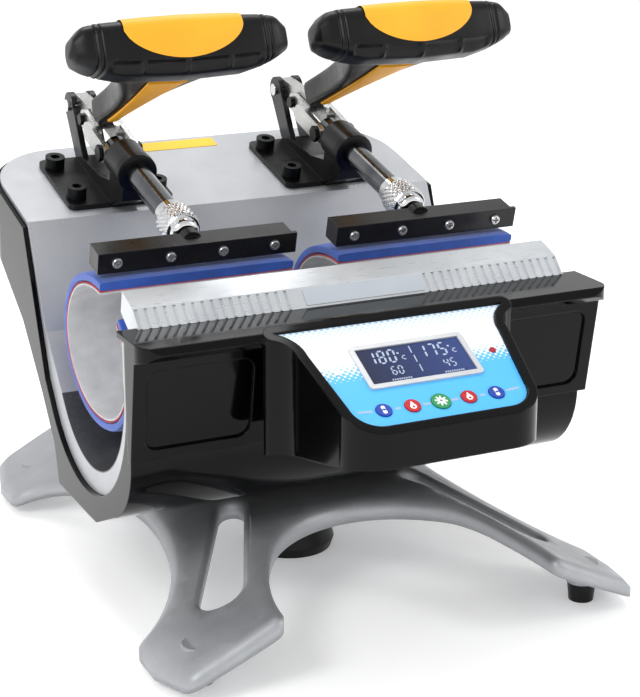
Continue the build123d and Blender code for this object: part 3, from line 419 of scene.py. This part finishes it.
# %% Materials on the CAD nodes
finishes = {
    "base_casting": cast_paint, "rubber_feet": rubber, "centre_pad": rubber, "base_bolts": zinc,
    "console_shell": gloss_black, "lower_housing": gloss_black, "left_side_frame": zinc,
    "right_side_frame": zinc, "top_cover": silver_paint, "toggle_mount": zinc, "front_bar": bar_trim,
    "label_plate": blank_film, "control_panel": film, "lcd_bezel": trim_silver, "lcd_screen": window,
    "indicator_leds": lenses, "left_time_button": blue_plastic, "left_heat_button": red_plastic,
    "set_button": green_plastic, "right_heat_button": red_plastic, "right_time_button": blue_plastic,
    "control_board": board_green, "board_standoffs": nylon, "power_board": board_green,
    "power_inlet": matt_black, "fuse_holder": matt_black, "switch_frame": matt_black,
    "rocker_switch": red_plastic, "caution_label": yellow_label, "toggle_bolts": steel_black,
    "lever_pivots": chrome, "heater_cradles": zinc}
for side, _ in SIDES:
    finishes.update({
        side + "_toggle_base": powder_black, side + "_lever": zinc, side + "_grip": rubber,
        side + "_grip_inlays": orange_inlay, side + "_links": zinc, side + "_link_pin": steel_black,
        side + "_plunger": gun_metal, side + "_plunger_pin": steel_black, side + "_pressure_nut": chrome,
        side + "_clamp_bar": anodised, side + "_clamp_plate": anodised, side + "_clamp_screws": zinc,
        side + "_heater_wrap": blue_band, side + "_heater_sheet": grey_band})
for node_name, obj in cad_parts.items():
    obj.data.materials.clear()
    obj.data.materials.append(finishes[node_name])

# %% [markdown]
# ## Base casting
# The base is an arched plate. Its outline is walked once round, its sharp corners are
# rounded, and an inner copy of the outline carries the wide bevel of the casting.
# The top is z = 57 - k max(0, |x| - 66), with a parabola round the bend.

# %% Base casting
CROWN, BEND, FALL = 66.0, 9.6, (57.0 - 18.0) / (153.0 - 8.0 - 66.0)


def base_top(x):
    """Height of the top: a line that falls outwards, eased into the level middle."""
    u = np.clip(np.abs(x) - (CROWN - BEND), 0, 2 * BEND)
    return 57.0 - FALL * u ** 2 / (4 * BEND) - FALL * np.maximum(0, np.abs(x) - CROWN - BEND)


def base_low(x):
    """Height of the underside: the plate thins from 12 to 9 mm along a leg."""
    return base_top(x) - 12.0 + 3.0 * np.clip((np.abs(x) - CROWN) / 89.0, 0, 1)


def rounded(points, cut):
    """Rounds corners that turn by more than 25 degrees: the outline within cut of the
    corner is swapped for a quadratic curve with the corner as its control point."""
    pts = np.asarray(points, float)
    n = len(pts)
    ahead = np.roll(pts, -1, 0) - pts
    way = ahead / np.linalg.norm(ahead, axis=1)[:, None]
    turn = np.degrees(np.arccos(np.clip((way * np.roll(way, 1, 0)).sum(1), -1, 1)))
    corners = np.nonzero(turn > 25)[0]
    drop, curves = np.zeros(n, bool), {}
    for c in corners:
        near = np.linalg.norm(pts - pts[c], axis=1) < cut
        drop |= near
        ends = []
        for step in (-1, 1):
            i = c
            while near[i % n]:
                i += step
            a, b = pts[(i - step) % n], pts[i % n]
            span = np.linspace(0, 1, 40)[:, None]
            line = a + (b - a) * span
            ends.append(line[np.argmin(np.abs(np.linalg.norm(line - pts[c], axis=1) - cut))])
        t = np.linspace(0, 1, 9)[:, None]
        curves[c] = (1 - t) ** 2 * ends[0] + 2 * t * (1 - t) * pts[c] + t ** 2 * ends[1]
    out = []
    for i in range(n):
        if i in curves:
            out += list(curves[i])
        elif not drop[i]:
            out.append(pts[i])
    return np.array(out)


def inset(loop, width):
    """Moves each point of a loop by width along its left normal."""
    way = np.roll(loop, -1, 0) - np.roll(loop, 1, 0)
    way /= np.linalg.norm(way, axis=1)[:, None]
    return loop + width * np.column_stack([-way[:, 1], way[:, 0]])


def within(points, loop):
    """True for points inside a closed loop, by counting crossings."""
    x, y = points[:, 0][:, None], points[:, 1][:, None]
    ax, ay = loop[:, 0], loop[:, 1]
    bx, by = np.roll(ax, -1), np.roll(ay, -1)
    cross = ((ay > y) != (by > y)) & (x < (bx - ax) * (y - ay) / (by - ay + 1e-12) + ax)
    return cross.sum(1) % 2 == 1


def sheet_fill(loops, height, flip):
    """Triangles over an outline with holes, on a surface z = height(x)."""
    outer, holes = loops[0], loops[1:]
    gx, gy = np.meshgrid(np.arange(-150, 151, 7.0), np.arange(-189, 190, 9.0))
    extra = np.column_stack([gx.ravel(), gy.ravel()])
    keep = within(extra, inset(outer, 3.0))
    for hole in holes:
        keep &= ~within(extra, inset(hole, 3.0))
    points = np.concatenate(loops + [extra[keep]])
    edges, base = [], 0
    for loop in loops:
        n = len(loop)
        edges += [(base + i, base + (i + 1) % n) for i in range(n)]
        base += n
    flat_points, _, faces, *_ = delaunay_2d_cdt([Vector(p) for p in points], edges, [], 0, 1e-4)
    flat_points = np.array(flat_points)
    middle = np.array([flat_points[list(f)].mean(0) for f in faces])
    good = within(middle, outer)
    for hole in holes:
        good &= ~within(middle, hole)
    faces = [tuple(f[::-1]) if flip else tuple(f) for f, ok in zip(faces, good) if ok]
    return np.column_stack([flat_points, height(flat_points[:, 0])]), faces


def strip(low_loop, low_z, high_loop, high_z):
    """A closed band of quads between two loops with as many points."""
    n = len(low_loop)
    points = np.concatenate([np.column_stack([low_loop, low_z]), np.column_stack([high_loop, high_z])])
    return points, [(i, (i + 1) % n, n + (i + 1) % n, n + i) for i in range(n)]


turns = np.linspace(-math.pi / 2, 0, 40)[:-1]
arch = [(ARCH_HALF * math.sin(a + math.pi / 2), -BASE_DEEP + ARCH_DEEP * math.cos(a + math.pi / 2))
        for a in turns]
waist = [(WAIST_X - WAIST_IN * math.cos(a), WAIST_HALF * math.sin(a))
         for a in np.linspace(-1.45, 0, 34)]
quarter = arch + [(87.5, -188.9), (116, -188.0), (145, -186), (153, -154), (153, -138)] + waist
quarter = [(0.0, -84.0)] + [p for p in quarter if p[0] > 0.5]
mirror_y = [(x, -y) for x, y in reversed(quarter[:-1])]
right_half = quarter + mirror_y
outline = rounded(right_half + [(-x, y) for x, y in reversed(right_half[1:-1])], 8.0)
holes = []
for sx in (-1, 1):
    for sy in (-1, 1):
        p, q, r1, r2 = np.array([64.0, 53.0]), np.array([102.0, 128.0]), 8.0, 13.0
        d = (q - p) / np.linalg.norm(q - p)
        lean = math.acos((r1 - r2) / np.linalg.norm(q - p))
        course = math.atan2(d[1], d[0])
        one = [(p[0] + r1 * math.cos(a), p[1] + r1 * math.sin(a))
               for a in np.linspace(course + lean, course + 2 * math.pi - lean, 20)]
        two = [(q[0] + r2 * math.cos(a), q[1] + r2 * math.sin(a))
               for a in np.linspace(course - lean, course + lean, 26)]
        hole = np.array(one + two) * (sx, sy)
        holes.append(hole[::-1] if sx * sy < 0 else hole)
pieces = []
top_loops = []
for loop, bevel in [(outline, 4.6)] + [(hole, -3.2) for hole in holes]:
    top = inset(loop, bevel)
    top_loops.append(top)
    drop = abs(bevel) * 0.75
    part = [strip(loop, base_low(loop[:, 0]), loop, base_top(loop[:, 0]) - drop),
            strip(loop, base_top(loop[:, 0]) - drop, top, base_top(top[:, 0]))]
    if bevel < 0:
        part = [(points, [f[::-1] for f in faces]) for points, faces in part]
    pieces += part
pieces.append(sheet_fill(top_loops, base_top, False))
pieces.append(sheet_fill([outline] + holes, base_low, True))
for sx in (-1, 1):
    for sy in (-1, 1):
        ring = np.linspace(0, 2 * math.pi, 32, endpoint=False)
        rows = [np.column_stack([sx * FOOT_X + r * np.cos(ring), sy * FOOT_Y + r * np.sin(ring),
                                 np.full(32, z)])
                for z, r in ((12.0, 9.4), (12.6, 10.0), (24.0, 10.0))]
        pieces.append((np.concatenate(rows), grid_faces(3, 32)))
casting = joined("arched_casting", pieces, cast_paint, "frame")
weld = casting.modifiers.new("weld", "WELD")
weld.merge_threshold = 0.00002
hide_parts("base_casting")

# %% [markdown]
# ## Grips
# A grip is one closed surface. For each station x across it the section is a
# superellipse, whose height and depth follow the outline of the moulding. Two shallow
# grooves at each end mark the end caps, and a ribbed hollow runs along the lower front.

# %% Grips
GRIP_X = np.array([-68, -66, -60, -52, -38, 0, 38, 52, 60, 66, 68], float)
GRIP_TOP = np.array([1.5, 9.5, 15.5, 17, 17.6, 18, 17.6, 17, 15.5, 9.5, 1.5], float)
GRIP_LOW = np.array([-1.5, -5.5, -9, -12, -15.5, -17, -15.5, -12, -9, -5.5, -1.5], float)
GRIP_DEEP = np.array([4, 10, 13, 14.4, 15, 15.4, 15, 14.4, 13, 10, 4], float)


def grip_ring(x, angles, grow=0.0):
    """Section of the grip at x: points (forward, up) for the given angles."""
    top, low = np.interp(x, GRIP_X, GRIP_TOP), np.interp(x, GRIP_X, GRIP_LOW)
    deep = np.interp(x, GRIP_X, GRIP_DEEP) + grow
    groove = sum(np.exp(-((abs(x) - g) / 0.55) ** 2) for g in (50.5, 54.0))
    half, middle = (top - low) / 2 + grow - 0.9 * groove, (top + low) / 2
    forward, up = superellipse(angles, deep - 0.9 * groove, half, 3.6)
    low_part = np.clip((-up - 9.0) / 1.4, 0, 1) * np.clip((forward / deep - 0.5) / 0.3, 0, 1)
    rib = sum(np.exp(-((abs(x) - g) / 1.4) ** 2) for g in (0.0, 27.0))
    shelf = low_part * np.clip((47.0 - abs(x)) / 2.0, 0, 1) * max(0.0, 1 - rib)
    return forward - 2.4 * shelf, up + middle


def make_grip(side, x0):
    """Grip body, orange inlay, tapered neck and the stripe under it."""
    origin, across, ahead, up = handle_basis(x0)
    turn = np.linspace(0, 2 * math.pi, 112, endpoint=False)
    c, s = np.cos(turn), np.sin(turn)
    angles = np.arctan2(np.sign(s) * np.abs(s) ** 1.8, np.sign(c) * np.abs(c) ** 1.8)
    fine = np.concatenate([np.linspace(g - 2.4, g + 2.4, 9) for g in (0.0, 27.0, 46.0, 50.5, 54.0)])
    wide = GRIP_X[-1] * np.sin(np.linspace(-math.pi / 2, math.pi / 2, 49))
    stations = np.unique(np.round(np.concatenate([wide, fine, -fine]), 2))
    rings = []
    for x in stations:
        f, v = grip_ring(x, angles)
        rings.append(origin + x * across + np.outer(f, ahead) + np.outer(v, up))
    body = (np.concatenate(rings), grid_faces(len(stations), len(angles)))
    necks = []
    for k in np.linspace(0, 1, 22):
        h = -150 + k * 142
        width = 8.5 + 35.5 * max(0.0, (k - 0.12) / 0.88) ** 2.1
        tall = 9.0 + 1.6 * k
        a, b = superellipse(angles, width, tall, 4.2)
        necks.append(origin + h * ahead + np.outer(a, across) + np.outer(b - 1.2 * k, up))
    neck = (np.concatenate(necks), grid_faces(len(necks), len(angles)))
    grip = joined(side + "_moulded_grip", [body, neck], rubber, side + "_handle")
    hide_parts(side + "_grip")
    # Inlay: a raised patch of the same surface, with a curved lower edge and fine ribs.
    xs = np.linspace(-37, 37, 61)
    rows = []
    for x in xs:
        edge = math.sqrt(max(0.0, 1 - (x / 37.5) ** 2))
        level = 0.70 - 1.19 * edge
        start_angle = math.asin(math.copysign(abs(level) ** 1.8, level))
        end_angle = math.radians(90 + 24 * edge)
        patch = np.linspace(start_angle, end_angle, 17)
        rib = 0.25 * (0.5 + 0.5 * math.cos(x * 2 * math.pi / 2.4))
        crown = 1.3 * (0.4 + 0.6 * edge) * np.sin(np.linspace(0, math.pi, 17)) ** 0.5
        lift = 0.2 + crown + rib * np.exp(-np.linspace(0, 6, 17))
        f, v = np.empty(17), np.empty(17)
        for i, (angle, grow) in enumerate(zip(patch, lift)):
            fi, vi = grip_ring(x, np.array([angle]), grow)
            f[i], v[i] = fi[0], vi[0]
        rows.append(origin + x * across + np.outer(f, ahead) + np.outer(v, up))
    inlay = (np.concatenate(rows), grid_faces(len(xs), 17, wrap_cols=False))
    strip = []
    for k in np.linspace(0, 1, 14):
        h = -138 + k * 112
        w = 3.5 + 9.5 * k ** 1.6
        a, b = superellipse(np.linspace(0, 2 * math.pi, 24, endpoint=False), w, 1.2, 3)
        strip.append(origin + h * ahead + np.outer(a, across) + np.outer(b - 9.8 - 2.6 * k, up))
    stripe = (np.concatenate(strip), grid_faces(len(strip), 24))
    piece = joined(side + "_grip_inlay_piece", [inlay, stripe], orange_inlay, side + "_handle")
    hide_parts(side + "_grip_inlays")


for side, x0 in SIDES:
    make_grip(side, x0)

# %% [markdown]
# ## Heater bands
# Each heater is a blue cloth band, a thin red layer and a grey inner sheet, bent round the mug space. On the
# press the rear half is fixed by its lip to the clamp bar; here it is baked in place and rides on no body,
# while the front half rides on the frame.

# %% Heater bands
WRAP_Y, WRAP_Z = -27.6, 159.5


def band(name, x0, half_length, outer, thickness, arc, material):
    """Part of an oval tube wall. arc gives start and end angles in degrees, and the
    section of the wall is a rounded rectangle: mid radius plus a superellipse."""
    angles = np.radians(np.linspace(arc[0], arc[1], 72))
    ring = np.linspace(0, 2 * math.pi, 36, endpoint=False)
    along, across = superellipse(ring, half_length, thickness / 2, 9.0)
    rows = []
    for angle in angles:
        ripple = 0.25 * math.sin(3 * angle) + 0.15 * math.sin(7 * angle + 1.0)
        a, b = outer[0] - thickness / 2, outer[1] - thickness / 2
        y = WRAP_Y + (a + across) * math.cos(angle)
        z = WRAP_Z + (b + across) * math.sin(angle)
        rows.append(np.column_stack([x0 + along, y, z + ripple * (np.abs(along) / half_length) ** 4]))
    return mesh_piece(name, np.concatenate(rows), grid_faces(len(rows), 36), material, None)


for side, x0 in SIDES:
    layers = (("wrap", 62.0, (61.0, 47.2), 6.0, blue_band, "blue_silicone"),
              ("edge", 62.2, (55.1, 41.3), 0.6, red_felt, "red_plastic"),
              ("sheet", 62.0, (54.3, 40.5), 1.6, grey_band, "grey_silicone"))
    halves = []
    for label, half, outer, thick, material, slot_name in layers:
        for part, arc in (("rear", (103.0, -90.0)), ("front", (-90.0, -223.0))):
            piece = band(f"{side}_{label}_{part}", x0, half, outer, thick, arc, material)
            if part == "rear":
                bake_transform(piece)
            else:
                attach(piece, "frame")
            halves.append((label, piece))
    for label, piece in halves:
        if label == "wrap":
            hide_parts(side + "_heater_wrap")
        if label == "sheet":
            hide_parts(side + "_heater_sheet")

# %% [markdown]
# ## Toggle details
# The pressure nut has a diamond knurl: r = R - d (1 - |sin(11 t + k z)| |sin(11 t - k z)|). Its
# front is a chromed dome, and a chromed collar lies behind it on the rod. A dark ring sits on
# the mouth of each barrel.

# %% Toggle details


def knurl(angle, distance, radius):
    """Diamond pattern, only on the full radius."""
    if radius < 11.5:
        return np.zeros_like(angle)
    twist = distance * 0.62
    return -0.55 * (1 - np.abs(np.sin(11 * angle + twist)) * np.abs(np.sin(11 * angle - twist)))


for side, x0 in SIDES:
    origin, across, along, up = toggle_basis(x0, 0.0, AXIS_N)
    steps = np.linspace(-102.6, -88.4, 58)
    profile = [(-104.0, 6.2), (-104.0, 10.6)] + [(t, 12.0) for t in steps] + [(-87.0, 10.6), (-87.0, 6.2)]
    nut = revolve(side + "_knurled_nut", profile, origin, across, along, up, chrome, side + "_nut",
                  264, knurl)
    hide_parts(side + "_pressure_nut")
    dome = [(-109.3, 5.7), (-109.2, 6.9), (-108.4, 8.2), (-107.0, 9.0), (-105.4, 9.3), (-104.0, 9.3),
            (-103.9, 5.9)]
    revolve(side + "_nut_cap", dome, origin, across, along, up, chrome, side + "_nut")
    collar = [(-86.4, 6.4), (-86.4, 8.9), (-85.9, 9.3), (-79.0, 9.3), (-78.5, 8.9), (-78.5, 8.05)]
    revolve(side + "_rod_collar", collar, origin, across, along, up, chrome, side + "_plunger")
    ring = [(-22.9, 9.0), (-22.9, 12.2), (-22.2, 13.3), (-17.2, 13.5), (-16.4, 12.9), (-16.4, 12.0)]
    revolve(side + "_barrel_ring", ring, origin, across, along, up, rubber, "frame")

# %% Cross screws


def cross_screw(origin, across, along, up, radius, height):
    """Pan head with a cross recess: a low dome, lowered where |u| or |v| is small."""
    radii = np.linspace(0.02, 1, 14)
    angles = np.linspace(0, 2 * math.pi, 64, endpoint=False)
    points = []
    for r in radii:
        u, v = radius * r * np.cos(angles), radius * r * np.sin(angles)
        dome = height * (1 - 0.12 * r ** 2 - 0.55 * max(0.0, (r - 0.82) / 0.18) ** 2)
        arm = np.minimum(np.abs(u), np.abs(v))
        cut = np.clip((0.55 - arm) / 0.2, 0, 1) * np.clip((0.62 - r) / 0.12, 0, 1)
        depth = dome - 0.75 * height * cut
        points.append(origin - np.outer(depth, along) + np.outer(u, across) + np.outer(v, up))
    points.append(origin + np.outer(radius * np.cos(angles), across) + np.outer(radius * np.sin(angles), up))
    return np.concatenate(points), grid_faces(15, 64)


for side, x0 in SIDES:
    heads = []
    for offset in (-50.25, -16.75, 16.75, 50.25):
        origin, across, along, up = toggle_basis(x0 + offset, -127.42, 30.2)
        heads.append(cross_screw(origin, across, along, up, 3.3, 1.9))
    screws = joined(side + "_cross_screws", heads, zinc, side + "_plunger")
    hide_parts(side + "_clamp_screws")

# %% [markdown]
# ## Display and print
# Digits are built from the seven bars of a segment display. Pictograms are flat outlines
# that lie just above their button.

# %% Display and print
SEGMENTS = {"0": "abcdef", "1": "bc", "3": "abcdg", "4": "bcfg", "5": "acdfg", "6": "acdefg",
            "7": "abc", "8": "abcdefg", "c": "deg"}
BARS = {"a": (0, 0, 1, 0), "b": (1, 0, 1, 1), "c": (1, 1, 1, 2), "d": (0, 2, 1, 2), "e": (0, 1, 0, 2),
        "f": (0, 0, 0, 1), "g": (0, 1, 1, 1)}


def flat(outline, height, thick=0.12):
    """A thin plate on the panel from an outline of (u, s) points."""
    n = len(outline)
    points = [panel_point(u, s, height) for u, s in outline]
    points += [panel_point(u, s, height + thick) for u, s in outline]
    faces = [tuple(range(n)), tuple(range(2 * n - 1, n - 1, -1))]
    faces += [(i, i + n, (i + 1) % n + n, (i + 1) % n) for i in range(n)]
    return points, faces


def digit(char, u, s, wide, tall, bar):
    """Bars of one digit, slanted a little to the right."""
    parts = []
    for key in SEGMENTS[char]:
        x1, y1, x2, y2 = BARS[key]
        p = np.array([u + x1 * wide + 0.12 * tall * (2 - y1) / 2, s + y1 * tall / 2])
        q = np.array([u + x2 * wide + 0.12 * tall * (2 - y2) / 2, s + y2 * tall / 2])
        d = (q - p) / np.linalg.norm(q - p)
        side_way = np.array([-d[1], d[0]]) * bar / 2
        p, q = p + d * bar * 0.35, q - d * bar * 0.35
        tip = d * bar / 2
        parts.append(flat([p, p + tip + side_way, q - tip + side_way, q, q - tip - side_way,
                           p + tip - side_way], 0.32))
    return parts


def ring_outline(u, s, radius, count=20):
    """Circle as a list of (u, s) points."""
    return [(u + radius * math.cos(a), s + radius * math.sin(a))
            for a in np.linspace(0, 2 * math.pi, count, endpoint=False)]


marks = []
for text, u, s, wide, tall, bar, pitch in (
        ("180", -27.5, 6.0, 3.6, 9.4, 1.15, 6.4), ("175", 4.5, 6.0, 3.6, 9.4, 1.15, 6.4),
        ("60", -17.5, 19.0, 2.4, 6.0, 0.8, 4.2), ("45", 15.5, 19.0, 2.4, 6.0, 0.8, 4.2)):
    for i, char in enumerate(text):
        marks += digit(char, u + i * pitch, s, wide, tall, bar)
for u in (-6.8, 25.2):
    marks += digit("c", u, 9.0, 2.4, 5.4, 0.7)
    marks.append(flat(ring_outline(u - 1.2, 9.2, 0.7), 0.32))
for s in (5.0, 12.5, 20.0):
    marks.append(flat([(0.4, s), (1.1, s), (0.7, s + 5.5), (0.0, s + 5.5)], 0.32))
for u in (-20, 13):
    for i in range(9):
        marks.append(flat([(u + i * 1.4, 28.2), (u + i * 1.4 + 0.8, 28.2), (u + i * 1.4 + 0.8, 29.4),
                           (u + i * 1.4, 29.4)], 0.32))
joined("display_digits", marks, digit_light, "frame", smooth=False)

# Pictograms: hourglass, drop and gear
BUTTONS = (("left_time_button", -35.0, "glass"), ("left_heat_button", -17.5, "drop"),
           ("set_button", 0.0, "gear"), ("right_heat_button", 17.5, "drop"),
           ("right_time_button", 35.0, "glass"))


def pictogram(kind, u, s):
    """Outline of a generic sign, about five millimetres wide."""
    if kind == "gear":
        ring = np.linspace(0, 2 * math.pi, 64, endpoint=False)
        return [(u + (3.0 + 0.75 * np.sign(math.sin(8 * a))) * math.cos(a),
                 s + (3.0 + 0.75 * np.sign(math.sin(8 * a))) * math.sin(a)) for a in ring]
    if kind == "drop":
        ring = np.linspace(0.5 * math.pi - 2.3, 0.5 * math.pi + 2.3, 20)
        return [(u + 1.9 * math.cos(a), s + 0.9 + 1.9 * math.sin(a)) for a in ring] + [(u, s - 3.2)]
    ring = np.linspace(0, 2 * math.pi, 40, endpoint=False)
    return [(u + (0.7 + 1.3 * abs(math.sin(a))) * math.cos(a) * 1.05, s + 3.0 * math.sin(a)) for a in ring]


for name, u, kind in BUTTONS:
    sign = joined(name + "_sign", [flat(pictogram(kind, u, BUTTON_ROW), 0.8, 0.1)], white_print, name,
                  smooth=False)
    joined(name + "_dot", [flat(ring_outline(u, BUTTON_ROW + (1.2 if kind == "drop" else 0), 0.75),
                                        0.92, 0.06)],
                   red_plastic if kind == "drop" else blue_plastic if kind == "glass" else green_plastic,
                   name, smooth=False)

# A grey arc joins the buttons
arc_u = np.linspace(-50, 50, 60)
arc_s = BUTTON_ROW - 1.4 * np.abs(arc_u / 50) ** 4
parts = []
for i in range(59):
    middle = (arc_u[i] + arc_u[i + 1]) / 2
    if min(abs(middle - u) for _, u, _ in BUTTONS) > 6.4:
        parts.append(flat([(arc_u[i], arc_s[i] - 0.7), (arc_u[i + 1], arc_s[i + 1] - 0.7),
                           (arc_u[i + 1], arc_s[i + 1] + 0.7), (arc_u[i], arc_s[i] + 0.7)], 0.0, 0.06))
joined("button_arc", parts, grey_print, "frame", smooth=False)

# %% Console recesses
recess = []
lean = math.atan2(182.0 - 121.0, 127.0 - 116.5)
for sx in (-1, 1):
    down = np.array([0, -math.cos(lean), math.sin(lean)])
    out = np.array([0, -math.sin(lean), -math.cos(lean)])
    centre = np.array([sx * 110.0, -116.5, 121.0]) + 31 * down - 1.95 * out
    a, b = superellipse(np.linspace(0, 2 * math.pi, 64, endpoint=False), 31.7, 24.7, 9)
    front = centre + np.outer(a, [1, 0, 0]) + np.outer(b, down) + 0.25 * out
    back = front - 0.2 * out
    recess.append((np.concatenate([back, front]), grid_faces(2, 64)))
joined("recess_pads", recess, gloss_black, "frame", smooth=False)

# %% [markdown]
# ## Stage, light and camera
# The camera stands where the picture was taken from. Broad soft lights give long, calm
# reflections on the chrome and the gloss black.

# %% Stage
floor_paint = coated("studio floor", "FAFAFA", "F8F8F8", (0.7, 0.8), 0.1, 0.0, 0, Emission_Strength=0.22)
floor_mesh = bpy.data.meshes.new("floor")
floor_mesh.from_pydata([(-9, -9, 0), (9, -9, 0), (9, 9, 0), (-9, 9, 0)], [], [(0, 1, 2, 3)])
floor = bpy.data.objects.new("floor", floor_mesh)
bpy.context.scene.collection.objects.link(floor)
floor_mesh.materials.append(floor_paint)

world = bpy.data.worlds.new("studio")
bpy.context.scene.world = world
world.use_nodes = True
sky = world.node_tree
place = add(sky, "ShaderNodeTexCoord").outputs["Generated"]
height = add(sky, "ShaderNodeSeparateXYZ", {0: place}).outputs[2]
ramp = add(sky, "ShaderNodeMapRange", {"Value": height, "From Min": -0.05, "From Max": 0.8, "To Min": 1.12,
                                       "To Max": 0.72}).outputs[0]
sky.links.new(ramp, sky.nodes["Background"].inputs["Strength"])
sky.nodes["Background"].inputs["Color"].default_value = (1, 1, 1, 1)


def softbox(name, location, target, size, power):
    """Area light that looks at a target point."""
    light = bpy.data.lights.new(name, "AREA")
    light.shape, light.size, light.size_y, light.energy = "RECTANGLE", size[0], size[1], power
    obj = bpy.data.objects.new(name, light)
    bpy.context.scene.collection.objects.link(obj)
    obj.location = location
    way = np.array(target) - np.array(location)
    yaw, pitch = math.atan2(way[0], -way[1]), math.atan2(math.hypot(way[0], way[1]), -way[2])
    obj.rotation_euler = (pitch, 0, yaw + math.pi)
    return obj


softbox("key light", (-1.3, -0.7, 1.3), (0, 0, 0.18), (0.7, 0.7), 13)
softbox("fill light", (1.5, -0.9, 1.1), (0, 0, 0.18), (0.6, 0.9), 7)
softbox("top light", (0.1, 0.7, 1.7), (0, 0, 0.2), (1.2, 0.8), 16)

camera = bpy.data.cameras.new("camera")
camera.lens, camera.sensor_width, camera.clip_start, camera.clip_end = 94.70, 36.0, 0.05, 40.0
eye = bpy.data.objects.new("camera", camera)
bpy.context.scene.collection.objects.link(eye)
eye.location = (-0.46453, -1.02527, 0.48939)
eye.rotation_euler = (math.radians(72.518), 0, math.radians(-25.387))
bpy.context.scene.camera = eye
bpy.context.scene.view_settings.view_transform = "Standard"

write_size()
